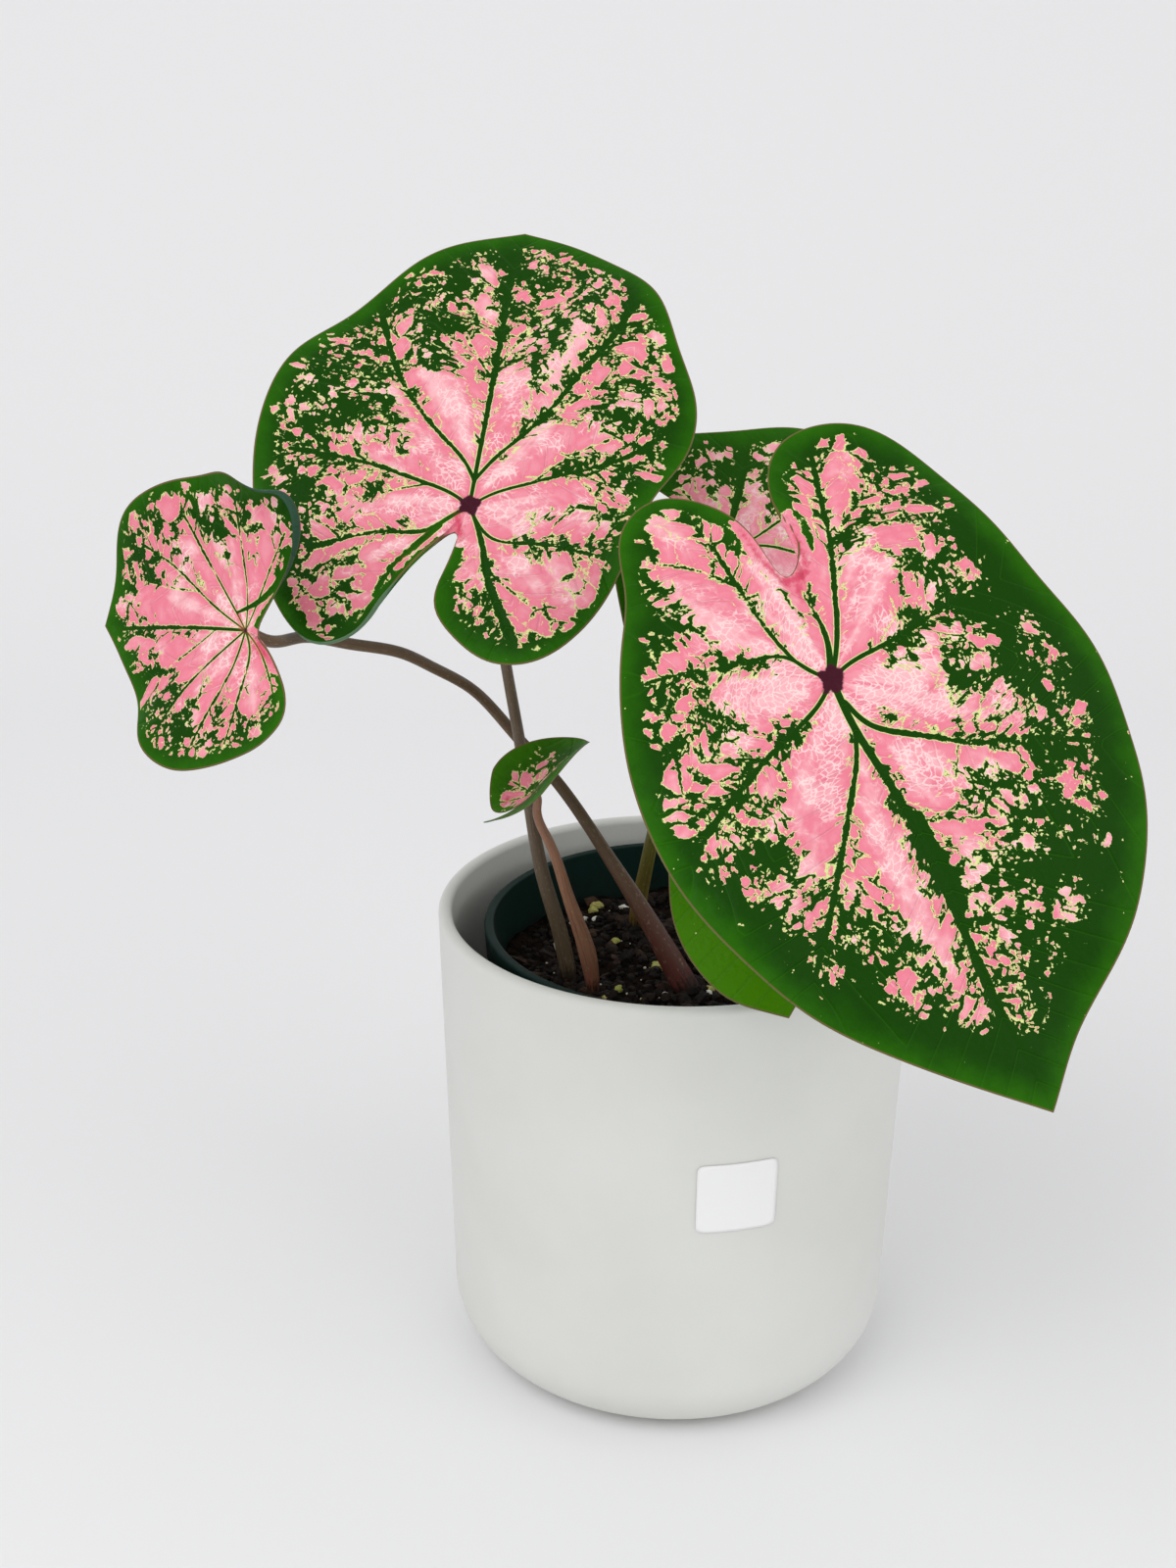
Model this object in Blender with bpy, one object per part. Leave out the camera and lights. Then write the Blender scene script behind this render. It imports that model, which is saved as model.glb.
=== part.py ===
"""A potted caladium: five leaves on their stalks, the soil, the nursery pot and the cover pot.

Sizes are in millimetres and angles in degrees, and both become metres and radians as the meshes
are made.  The origin is the middle of the cover pot's underside, +Z is up, and the plant turns its
leaves towards -Y.
"""
import bpy
import bmesh
import numpy as np
from mathutils import Matrix

MM = 0.001
GAP = 0.3                  # clear space that is left between pieces that touch

# Cover pot: a tapered wall on a large rounded foot, with a round lip
POT_HEIGHT = 150.0
POT_TOP_RADIUS = 73.0
POT_LOW_RADIUS = 69.4
POT_FOOT_ROUND = 21.0
POT_WALL = 4.2
POT_FLOOR = 6.0
POT_INNER_ROUND = 16.0

# Nursery pot, which stands a little off the cover pot's middle
NURSERY_X = 4.0
NURSERY_Y = 0.0
NURSERY_TOP = 144.0
NURSERY_RIM_RADIUS = 63.0
NURSERY_BAND = 9.0         # height of the thicker band round the rim
NURSERY_BAND_STEP = 1.6
NURSERY_BASE_RADIUS = 42.0
NURSERY_WALL = 1.3

# Soil
SOIL_TOP = 130.0
SOIL_CROWN = 1.0           # how much higher the soil stands in the middle than at the pot's wall

# Label on the front of the cover pot, as turns round the pot from -Y towards +X
LABEL_TURNS = (3.7, 23.0)
LABEL_HEIGHTS = (77.2, 99.9)
LABEL_THICK = 0.6

BLADE_THICK = 0.8
BLADE_RINGS = (0.12, 0.3, 0.5, 0.68, 0.84, 1.0)
STALK_DEPTH = 12.0         # how far a stalk stands in the soil

# Each leaf lies on a joint with its stalk.  From there the midrib heads off at a compass angle from
# +Y towards +X, dips below the level and rolls about itself.  The blade then bends about its midrib
# on either side, and along it before and behind the joint, in degrees for each 100 mm, and the vee
# is the rise of its halves.  The outline is read at angles from the tip, positive to the right, as
# (angle, reach).  A vein is (angle where it ends at the rim, angle at which it leaves the joint),
# from the notch up the left side to the tip and down the right.  A wave is (height, number round
# the rim, phase), and a curl is (angle of its middle, half width as a share of the rim, how deep
# the edge that it rolls up is, how far it rolls).
LEAVES = {
    "right": dict(
        joint=(31.6, -105.0, 256.8), heading=146.4, dip=43.5, roll=18.3,
        vee=7, right=22, left=22, tip=14, back=16, spokes=56,
        outline=[(-3, 115), (9, 99), (25, 86), (47, 73), (70, 62), (92, 55), (117, 52), (137, 55),
                 (152, 65), (165, 65), (175, 52), (179, 38), (-176, 30), (-167, 36), (-170, 50),
                 (-164, 70), (-152, 75), (-133, 71.5), (-109, 63.5), (-95, 63), (-71, 72), (-47, 82),
                 (-28, 92), (-11, 103)],
        notch=-176,
        veins=[(-158, -148), (-95, -112), (-49, -10), (None, 1), (30, 8), (66, 63), (110, 138),
               (163, 135)],
        waves=[(1.6, 7, 40), (0.6, 13, 100)]),
    "centre": dict(
        joint=(-59.4, -45.0, 284.5), heading=10.2, dip=-44.3, roll=6.0,
        vee=7, right=16, left=16, tip=10, back=14, spokes=56,
        outline=[(0, 98), (10, 95), (19, 91), (28, 86), (40, 76), (54, 69), (69, 59), (82, 49),
                 (97, 45.5), (119, 46), (137, 48), (152, 49), (165, 46), (177, 39), (-172, 31), (-170, 24),
                 (-172, 15), (-162, 8.5), (-150, 13), (-148, 25), (-150, 38), (-151, 51),
                 (-146, 58), (-128, 58), (-92, 58), (-68, 65), (-52, 70.5), (-38, 72.5), (-26, 78),
                 (-10, 91)],
        notch=-162,
        veins=[(-143, -138), (-121, -128), (-82, -68), (-36, -8), (None, 0), (29, 10), (63, 62),
               (112, 135), (157, 148)],
        curls=[(-148, 0.09, 4, 110)],
        waves=[(1.4, 6, 210), (0.5, 11, 30)]),
    "left": dict(
        joint=(-113.5, -86.0, 262.1), heading=-59.0, dip=8.4, roll=-57.5,
        vee=7, right=-70, left=0, tip=10, back=10, spokes=48,
        outline=[(1, 50), (11, 50), (24, 53), (36, 52), (52, 46), (69, 41), (86, 38), (101, 37),
                 (113, 39), (121, 36), (126, 29), (130, 20), (136, 12), (150, 6), (175, 4.2),
                 (-162, 5), (-151, 9), (-144, 16), (-138, 24), (-130, 31), (-118, 34), (-106, 34.5),
                 (-93, 36), (-75, 39), (-53, 39), (-35, 36.5), (-18, 39), (-7, 44)],
        notch=178,
        veins=[(-121, -143), (-104, -125), (-82, -92), (-58, -40), (None, 0), (28, 34), (55, 52),
               (86, 84), (112, 113), (142, 130)],
        curls=[(112, 0.13, 6, 150)],
        waves=[(0.7, 6, 120), (0.3, 11, 10)]),
    "back": dict(
        joint=(12.7, -5.0, 262.4), heading=157.5, dip=42.3, roll=8.4,
        vee=6, right=45, left=45, tip=15, back=15, spokes=56,
        outline=[(9, 136), (12, 134), (16, 131), (20, 124), (23, 116), (25, 108), (26.5, 98),
                 (30, 84), (39, 64), (55, 46), (77, 37), (100, 34), (118, 31), (130, 25),
                 (138, 16), (149, 13), (151, 30), (157, 39), (170, 43), (-175, 42), (-160, 43),
                 (-145, 49), (-128, 58), (-110, 60), (-90, 60), (-70, 62), (-50, 70), (-32, 80),
                 (-14, 96), (1, 116)],
        notch=147,
        veins=[(-156, -165), (-118, -105), (-72, -92), (-36, -20), (None, -4), (34, 15), (76, 60),
               (112, 105)],
        waves=[(1.0, 6, 60), (0.4, 11, 0)]),
    "young": dict(
        joint=(-43.0, -42.0, 202.2), heading=54.3, dip=-41.9, roll=-29.0,
        vee=29, right=275, left=-237, tip=89, back=-227, spokes=32,
        outline=[(0, 21.7), (14, 21.2), (35, 19), (65, 17.3), (95, 16.7), (122, 17.9), (146, 20.1),
                 (160, 19), (168, 11.2), (180, 4.5), (-165, 9), (-153, 13), (-135, 14.1),
                 (-110, 14.7), (-80, 15.8), (-50, 17.5), (-25, 20.3), (-10, 22)],
        notch=180,
        veins=[(-140, -140), (-90, -90), (-40, -20), (None, 0), (40, 20), (90, 90), (145, 150)]),
}

# Each stalk runs from the soil to its leaf's joint through these points, with its radius at each
STALKS = {
    "right": dict(points=[(42, -12, 130), (56, -40, 155), (62, -64, 180), (56, -88, 215),
                          (42, -97, 241)],
                  radii=[3.4, 2.6, 2.3, 2.1, 1.9, 1.8]),
    "centre": dict(points=[(-32.7, -13, 130), (-35.3, -13, 144.5), (-40.1, -13, 161.9),
                           (-43.8, -14, 182), (-47.4, -17, 208.6), (-50.4, -22, 229.6),
                           (-55.5, -32, 262)],
                   radii=[2.6, 2.4, 2.2, 1.9, 1.7, 1.6, 1.5, 1.5]),
    "left": dict(points=[(2.9, -19.3, 130), (-8.8, -17, 151.2), (-22.3, -13, 172.3),
                         (-36.6, -9, 192.6), (-49.4, -9, 207.9), (-60.1, -16, 222.9),
                         (-71.2, -28, 234), (-79.5, -38, 241.5), (-92, -50, 247.6),
                         (-102, -63, 253.4)],
                 radii=[2.9, 2.2, 1.9, 1.8, 1.7, 1.6, 1.6, 1.6, 1.6, 1.6, 1.6]),
    "back": dict(points=[(-11.3, 23, 130), (-11.1, 22.5, 136.3), (-9.7, 20.5, 147.5),
                         (-7.4, 18, 162), (2, 15, 210), (9.5, 6, 246)],
                 radii=[2.8, 2.6, 2.3, 2.1, 1.8, 1.6, 1.5]),
    "young": dict(points=[(-25.1, -22, 130), (-27, -25, 143.5), (-32.8, -30, 164.5),
                          (-38.2, -36, 184.3)],
                  radii=[1.9, 2.7, 1.8, 1.4, 1.2]),
}

for thing in list(bpy.data.objects):
    bpy.data.objects.remove(thing, do_unlink=True)


def finish(name, colour, roughness, metallic=0.0):
    """A plain surface finish: base colour, roughness and metallic value."""
    material = bpy.data.materials.new(name)
    material.use_nodes = True
    shader = material.node_tree.nodes["Principled BSDF"]
    shader.inputs["Base Color"].default_value = (*colour, 1.0)
    shader.inputs["Roughness"].default_value = roughness
    shader.inputs["Metallic"].default_value = metallic
    return material


def add_object(name, data, material):
    """Put mesh or curve data in the scene as one named object with its finish."""
    thing = bpy.data.objects.new(name, data)
    bpy.context.scene.collection.objects.link(thing)
    if material is not None:
        data.materials.append(material)
    return thing


def spline(points, at):
    """Smooth curve through points, read at the shares of its length given by at.

    It is the natural cubic spline whose parameter is the straight distance from point to point.
    """
    points = np.asarray(points, float)
    steps = np.linalg.norm(np.diff(points, axis=0), axis=1)
    knots = np.concatenate([[0.0], np.cumsum(steps)])
    count = len(points)
    left = np.eye(count)
    right = np.zeros_like(points)
    for i in range(1, count - 1):
        left[i, i - 1:i + 2] = steps[i - 1], 2 * (steps[i - 1] + steps[i]), steps[i]
        slopes = (points[i + 1] - points[i]) / steps[i], (points[i] - points[i - 1]) / steps[i - 1]
        right[i] = 6 * (slopes[0] - slopes[1])
    bend = np.linalg.solve(left, right)
    s = np.asarray(at) * knots[-1]
    i = np.clip(np.searchsorted(knots, s, side="right") - 1, 0, count - 2)
    h = steps[i][:, None]
    b = (s - knots[i])[:, None] / h
    a = 1 - b
    line = a * points[i] + b * points[i + 1]
    return line + ((a**3 - a) * bend[i] + (b**3 - b) * bend[i + 1]) * h**2 / 6


def arc(s, k):
    """Length s laid along an arc of curvature k: how far along it ends, how high, and its angle."""
    a = k * s
    return s * np.sinc(a / np.pi), s * (a / 2) * np.sinc(a / 2 / np.pi)**2, a


def turn_of(points):
    """Angle of flat points from the tip, positive to the right."""
    return np.degrees(np.arctan2(points[..., 0], points[..., 1]))


def rim_of(leaf):
    """The blade's flat outline as closely spaced points, each with its share of the rim's length."""
    turn, reach = np.array(leaf["outline"], float).T
    corners = np.stack([reach * np.sin(np.radians(turn)), reach * np.cos(np.radians(turn))], -1)
    rim = spline(np.vstack([corners, corners[:1]]), np.linspace(0, 1, 2001))
    run = np.concatenate([[0.0], np.cumsum(np.hypot(*np.diff(rim, axis=0).T))])
    return rim, run / run[-1]


def share_at(rim, run, turn):
    """Share of the rim's length at which it passes an angle from the tip."""
    return run[np.argmin(np.abs((turn_of(rim) - turn + 180) % 360 - 180))]


def spokes_of(leaf, rim, run):
    """Where each spoke meets the rim and the angle at which it leaves the joint.

    A spoke lies on every vein, and the ones between are spread evenly along the rim and turn
    evenly from the one vein to the next.
    """
    notch = share_at(rim, run, leaf["notch"])
    tip = [end for end, _ in leaf["veins"]].index(None)
    ends = [notch - 1.0]
    starts = [leaf["notch"] if leaf["notch"] < 0 else leaf["notch"] - 360]
    for i, (end, start) in enumerate(leaf["veins"]):
        ends.append(0.0 if end is None else share_at(rim, run, end) - (i < tip))
        starts.append(start)
    ends.append(notch)
    starts.append(starts[0] + 360)
    at, leave = [], []
    for k in range(len(ends) - 1):
        number = max(2, round(leaf["spokes"] * (ends[k + 1] - ends[k])))
        part = np.arange(number) / number
        at.append(ends[k] + part * (ends[k + 1] - ends[k]))
        leave.append(starts[k] + part * (starts[k + 1] - starts[k]))
    return np.concatenate(at), np.radians(np.concatenate(leave))


def flat_blade(leaf, rings):
    """Points of the flat blade, ring by ring and spoke by spoke, and how far each stands off it.

    A spoke is a quadratic Bezier curve from the joint, along its leaving angle for 0.45 of its
    reach, to the rim.  A wave is a sine round the rim that dies away with the cube of the share of
    the reach.  A curl wraps the outer few millimetres of the spokes onto an arc.
    """
    rim, run = rim_of(leaf)
    at, leave = spokes_of(leaf, rim, run)
    end = np.stack([np.interp(at % 1.0, run, rim[:, i]) for i in range(2)], -1)
    reach = np.hypot(*end.T)
    knee = 0.45 * reach[:, None] * np.stack([np.sin(leave), np.cos(leave)], -1)
    share = np.repeat(np.asarray(rings, float)[:, None], len(at), axis=1)
    height = np.zeros_like(share)
    for size, number, phase in leaf.get("waves", []):
        height += size * share**3 * np.sin(2 * np.pi * number * at + np.radians(phase))
    for middle, half, depth, roll in leaf.get("curls", []):
        away = np.abs((at - share_at(rim, run, middle) + 0.5) % 1 - 0.5) / half
        strength = np.cos(np.clip(away, 0, 1) * np.pi / 2)**2
        over = np.clip(depth - (1 - share) * reach, 0, None)
        along, up, _ = arc(over, np.radians(roll) * strength / depth)
        share = share + (along - over) / reach
        height += up
    share = share[..., None]
    return 2 * share * (1 - share) * knee + share**2 * end, height


def place_blade(leaf, flat, height):
    """Bend the flat blade about and along its midrib and stand it at its joint."""
    u, v = flat[..., 0], flat[..., 1]
    height = height + np.tan(np.radians(leaf["vee"])) * (np.sqrt(u * u + 36) - 6)
    across = -np.radians(np.where(u > 0, leaf["right"], leaf["left"])) / 100
    along = -np.radians(np.where(v > 0, leaf["tip"], leaf["back"])) / 100
    side, rise, _ = arc(u, across)
    height = height + rise
    ahead, rise, a = arc(v, along)
    bent = np.stack([side, ahead - height * np.sin(a), rise + height * np.cos(a)], -1)
    return bent @ directions(leaf) + np.array(leaf["joint"])


def directions(leaf):
    """Unit vectors of the blade at its joint: to its right, along its midrib, and off its face."""
    heading, dip, roll = np.radians([leaf["heading"], leaf["dip"], leaf["roll"]])
    midrib = np.array([np.sin(heading) * np.cos(dip), np.cos(heading) * np.cos(dip), -np.sin(dip)])
    level = np.array([np.cos(heading), -np.sin(heading), 0.0])
    side = np.cos(roll) * level - np.sin(roll) * np.cross(level, midrib)
    return np.stack([side, midrib, np.cross(side, midrib)])


def make_blade(name, leaf, material):
    """The blade's upper face as rings of triangles, given its thickness on the underside."""
    points = place_blade(leaf, *flat_blade(leaf, BLADE_RINGS))
    rings, spokes = points.shape[:2]
    corners = np.vstack([np.array(leaf["joint"])[None], points.reshape(-1, 3)]) * MM
    faces = []
    for j in range(spokes):
        near = np.array([j, (j + 1) % spokes]) + 1
        faces.append((0, near[1], near[0]))
        for i in range(rings - 1):
            a, b = near + i * spokes
            c, d = near + (i + 1) * spokes
            faces.append((a, b, d))
            faces.append((a, d, c))
    mesh = bpy.data.meshes.new(name)
    mesh.from_pydata(corners.tolist(), [], [tuple(int(i) for i in face) for face in faces])
    blade = add_object(name, mesh, material)
    mesh.shade_smooth()
    solid = blade.modifiers.new("thickness", "SOLIDIFY")
    solid.thickness = BLADE_THICK * MM
    solid.offset = -1.0
    return blade


def stalk_line(name):
    """Points and radii of a stalk, from its end in the soil to just under its leaf."""
    stalk, leaf = STALKS[name], LEAVES[name]
    points = np.array(stalk["points"], float)
    down = points[0] - points[1]
    foot = points[0] + down / np.linalg.norm(down) * STALK_DEPTH
    off_face = directions(leaf)[2]
    top = np.array(leaf["joint"]) - off_face * (BLADE_THICK + GAP)
    points = np.vstack([foot, points, top - off_face * 7, top])
    radii = np.array([stalk["radii"][0], *stalk["radii"], stalk["radii"][-1]])
    steps = np.linalg.norm(np.diff(points, axis=0), axis=1)
    knots = np.concatenate([[0.0], np.cumsum(steps)]) / steps.sum()
    at = np.linspace(0, 1, 12 + int(steps.sum() / 12))
    return spline(points, at), np.interp(at, knots, radii)


def make_tube(name, line, radii, material):
    """A round bar along a line of points, with its own radius at each and flat ends."""
    curve = bpy.data.curves.new(name, "CURVE")
    curve.dimensions = "3D"
    curve.bevel_depth = MM
    curve.bevel_resolution = 2
    curve.use_fill_caps = True
    run = curve.splines.new("POLY")
    run.points.add(len(line) - 1)
    for point, place, radius in zip(run.points, line, radii):
        point.co = (*(place * MM), 1.0)
        point.radius = radius
    run.use_smooth = True
    return add_object(name, curve, material)


def make_hole(soil, name):
    """Cut a stalk's own shape out of the soil, wider and deeper than the stalk by the gap."""
    line, radii = stalk_line(name)
    low = line[:, 2] < SOIL_TOP + 12
    line, radii = line[low], radii[low]
    down = line[0] - line[1]
    line = np.vstack([line[0] + down / np.linalg.norm(down) * GAP, line])
    radii = np.concatenate([radii[:1], radii]) + GAP
    tube = make_tube("hole_curve_" + name, line, radii, None)
    shape = tube.evaluated_get(bpy.context.evaluated_depsgraph_get())
    cutter = add_object("hole_" + name, bpy.data.meshes.new_from_object(shape), None)
    bpy.data.objects.remove(tube, do_unlink=True)
    cutter.hide_render = True
    cutter.display_type = "WIRE"
    cut = soil.modifiers.new("hole for " + name, "BOOLEAN")
    cut.operation = "DIFFERENCE"
    cut.solver = "EXACT"
    cut.object = cutter


def round_corner(middle, radius, start, stop, steps):
    """Points of a circular arc in the profile plane, from one angle to another."""
    turn = np.radians(np.linspace(start, stop, steps + 1))
    return [(middle[0] + radius * np.cos(a), middle[1] + radius * np.sin(a)) for a in turn]


def make_turned(name, profile, segments, material, middle=(0.0, 0.0)):
    """Turn a profile, which runs from the axis out and back to the axis, into a closed solid."""
    shape = bmesh.new()
    corners = [shape.verts.new((r * MM, 0.0, z * MM)) for r, z in profile]
    edges = [shape.edges.new(pair) for pair in zip(corners[:-1], corners[1:])]
    bmesh.ops.spin(shape, geom=corners + edges, cent=(0, 0, 0), axis=(0, 0, 1),
                   angle=2 * np.pi, steps=segments, use_merge=True)
    bmesh.ops.remove_doubles(shape, verts=shape.verts, dist=1e-6)
    bmesh.ops.recalc_face_normals(shape, faces=shape.faces)
    mesh = bpy.data.meshes.new(name)
    shape.to_mesh(mesh)
    shape.free()
    mesh.shade_smooth()
    mesh.set_sharp_from_angle(angle=np.radians(40))
    thing = add_object(name, mesh, material)
    thing.matrix_world = Matrix.Translation((middle[0] * MM, middle[1] * MM, 0.0))
    return thing


def wall_radius(z):
    """Outer radius of the cover pot's wall at a height above its rounded foot."""
    low, high = POT_FOOT_ROUND, POT_HEIGHT - POT_WALL / 2
    return POT_LOW_RADIUS + (POT_TOP_RADIUS - POT_LOW_RADIUS) * (z - low) / (high - low)


def cover_pot_profile():
    """Underside, rounded foot, wall, round lip, and then the inside down to the floor."""
    lip = POT_WALL / 2
    inner_low = POT_FLOOR + POT_INNER_ROUND
    inner = wall_radius(inner_low) - POT_WALL
    foot = POT_LOW_RADIUS - POT_FOOT_ROUND
    points = [(0.0, 0.0)]
    points += round_corner((foot, POT_FOOT_ROUND), POT_FOOT_ROUND, -90, 0, 7)
    points += round_corner((POT_TOP_RADIUS - lip, POT_HEIGHT - lip), lip, 0, 180, 6)
    points += round_corner((inner - POT_INNER_ROUND, inner_low), POT_INNER_ROUND, 0, -90, 5)
    points.append((0.0, POT_FLOOR))
    return points


def nursery_radius(z):
    """Outer radius of the nursery pot's tapered wall."""
    low, high = POT_FLOOR + GAP, NURSERY_TOP
    top = NURSERY_RIM_RADIUS - NURSERY_BAND_STEP
    return NURSERY_BASE_RADIUS + (top - NURSERY_BASE_RADIUS) * (z - low) / (high - low)


def nursery_profile():
    """Base, tapered wall, the thicker band round the rim, and then the inside down to the floor."""
    low = POT_FLOOR + GAP
    band = NURSERY_TOP - NURSERY_BAND
    floor = low + NURSERY_WALL
    return [(0.0, low), (NURSERY_BASE_RADIUS - 2, low), (nursery_radius(low + 2), low + 2),
            (nursery_radius(band), band), (NURSERY_RIM_RADIUS - 0.3, band),
            (NURSERY_RIM_RADIUS, NURSERY_TOP - 0.6), (NURSERY_RIM_RADIUS - 0.6, NURSERY_TOP),
            (nursery_radius(NURSERY_TOP) - NURSERY_WALL, NURSERY_TOP),
            (nursery_radius(floor + 2) - NURSERY_WALL, floor + 2),
            (nursery_radius(floor) - NURSERY_WALL - 2, floor), (0.0, floor)]


def soil_profile():
    """The soil fills the nursery pot to a little under its rim, with a slight crown."""
    low = POT_FLOOR + GAP + NURSERY_WALL + GAP
    side = SOIL_TOP - SOIL_CROWN
    inset = NURSERY_WALL + GAP
    return [(0.0, low), (nursery_radius(low) - inset - 2.2, low),
            (nursery_radius(low + 2.2) - inset, low + 2.2), (nursery_radius(side) - inset, side),
            (0.6 * nursery_radius(side), SOIL_TOP), (0.0, SOIL_TOP)]


def make_label(material):
    """A thin plate bent round the front of the cover pot, just clear of its wall."""
    turns = np.radians(np.linspace(*LABEL_TURNS, 9))
    corners, faces = [], []
    for z in LABEL_HEIGHTS:
        r = wall_radius(z) + GAP
        corners += [(r * np.sin(a) * MM, -r * np.cos(a) * MM, z * MM) for a in turns]
    for i in range(len(turns) - 1):
        faces.append((i, i + 1, i + len(turns) + 1, i + len(turns)))
    mesh = bpy.data.meshes.new("label")
    mesh.from_pydata(corners, [], faces)
    plate = add_object("label", mesh, material)
    solid = plate.modifiers.new("thickness", "SOLIDIFY")
    solid.thickness = LABEL_THICK * MM
    solid.offset = 1.0
    return plate


make_turned("cover_pot", cover_pot_profile(), 64, finish("white_ceramic", (0.66, 0.66, 0.63), 0.55))
make_turned("nursery_pot", nursery_profile(), 48, finish("green_plastic", (0.01, 0.05, 0.04), 0.45),
            (NURSERY_X, NURSERY_Y))
soil = make_turned("soil", soil_profile(), 48, finish("dark_soil", (0.012, 0.009, 0.006), 0.95),
                   (NURSERY_X, NURSERY_Y))
make_label(finish("white_paper", (0.85, 0.85, 0.84), 0.7))

for name, leaf in LEAVES.items():
    colour = (0.05, 0.14, 0.01) if name == "young" else (0.55, 0.22, 0.22)
    make_blade("blade_" + name, leaf, finish("leaf_" + name, colour, 0.5))
    line, radii = stalk_line(name)
    make_tube("petiole_" + name, line, radii, finish("stalk_" + name, (0.10, 0.07, 0.03), 0.5))
    make_hole(soil, name)
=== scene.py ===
"""The potted caladium, finished: veined and marked leaf blades, stalks, pots, soil, floor and light.
Sizes are in millimetres and angles in degrees until a mesh is made.  Every piece but the loose grains
is a skin of rings over a grid, and the leaf shapes repeat the source part's own driving values.
"""
from types import SimpleNamespace

import bpy
import numpy as np
from mathutils import Matrix, Vector


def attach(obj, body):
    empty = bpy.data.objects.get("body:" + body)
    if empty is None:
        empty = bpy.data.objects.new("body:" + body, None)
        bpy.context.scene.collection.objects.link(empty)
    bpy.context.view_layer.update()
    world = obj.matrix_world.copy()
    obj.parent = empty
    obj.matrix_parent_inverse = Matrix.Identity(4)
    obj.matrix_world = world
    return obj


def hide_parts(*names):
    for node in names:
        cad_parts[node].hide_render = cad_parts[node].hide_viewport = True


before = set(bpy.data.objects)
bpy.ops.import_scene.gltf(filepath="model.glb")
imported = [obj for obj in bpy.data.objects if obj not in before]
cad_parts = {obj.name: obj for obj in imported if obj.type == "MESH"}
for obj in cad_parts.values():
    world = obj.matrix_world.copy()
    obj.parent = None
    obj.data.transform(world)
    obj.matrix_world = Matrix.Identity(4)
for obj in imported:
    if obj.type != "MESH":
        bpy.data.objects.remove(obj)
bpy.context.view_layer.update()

MM = 0.001

POT_HEIGHT = 150.0
POT_TOP_RADIUS = 73.0
POT_LOW_RADIUS = 69.4
POT_FOOT_ROUND = 21.0
POT_WALL = 4.2
POT_FLOOR = 6.0
POT_INNER_ROUND = 16.0
NURSERY_MIDDLE = (4.0, 0.0)
NURSERY_TOP = 144.0
NURSERY_RIM_RADIUS = 63.0
NURSERY_BAND = 9.0
NURSERY_BAND_STEP = 1.6
NURSERY_BASE_RADIUS = 42.0
NURSERY_WALL = 1.3
GAP = 0.3
SOIL_TOP = 130.0
LABEL_TURNS = (3.7, 23.0)
LABEL_HEIGHTS = (77.2, 99.9)
LABEL_FACE = 0.42          # its face from the wall
LABEL_CORNERS = 14         # power that rounds its corners

BLADE_SKIN = 0.45          # the blade itself between its veins
RIM_POINTS = 2001          # points of its closely spaced outline
KNEE = 0.45                # share of its reach that a spoke runs along its leaving angle
FOLD_ROUND = 6.0           # rounding of the fold at the midrib
BEND_RUN = 100.0           # length over which the leaves' bends are given
RIB_HEIGHT = 0.011         # of a vein's rib at the joint, as a share of the blade's size
RIB_WIDTH = 0.008          # what it is wider by there than at the rim, likewise
RIB_LEAST = 0.5            # its half width at the rim
SWELL = 0.012              # rise of the blade between its veins, likewise
RIM_OUT = 0.15             # how far the rounded rim stands out
SIDE_VEINS = 0.13          # faint side veins for each millimetre along a vein
SIDE_SLANT = 0.9           # how far they run outwards for each millimetre from it
PAINT_RANGE = (-14, 8)     # depths that the marks keep of the pink and of the crimson strokes
BLUSH_RANGE = (-2, 2)

STALK_DEPTH = 6.0          # how far a stalk reaches under the soil
STALK_RINGS = 120
STALK_COLUMNS = 28

HEAP_HEIGHT = 1.8          # of the soil at a stalk's foot
HEAP_SPREAD = 5.0
GRAIN_REACH = 53.0         # of the loose grains, from the middle of the soil
GRAINS_AT_FEET = 0.22      # share of them that lie near the stalks' feet
FEET_SPREAD = 3.4

CAMERA_PLACE = (-27.4, -587.6, 414.7)
CAMERA_PITCH = 21.05
CAMERA_ROLL = 0.487
CAMERA_LENS = 48
CAMERA_FRAME = 36
SURROUND = 0.68

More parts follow.
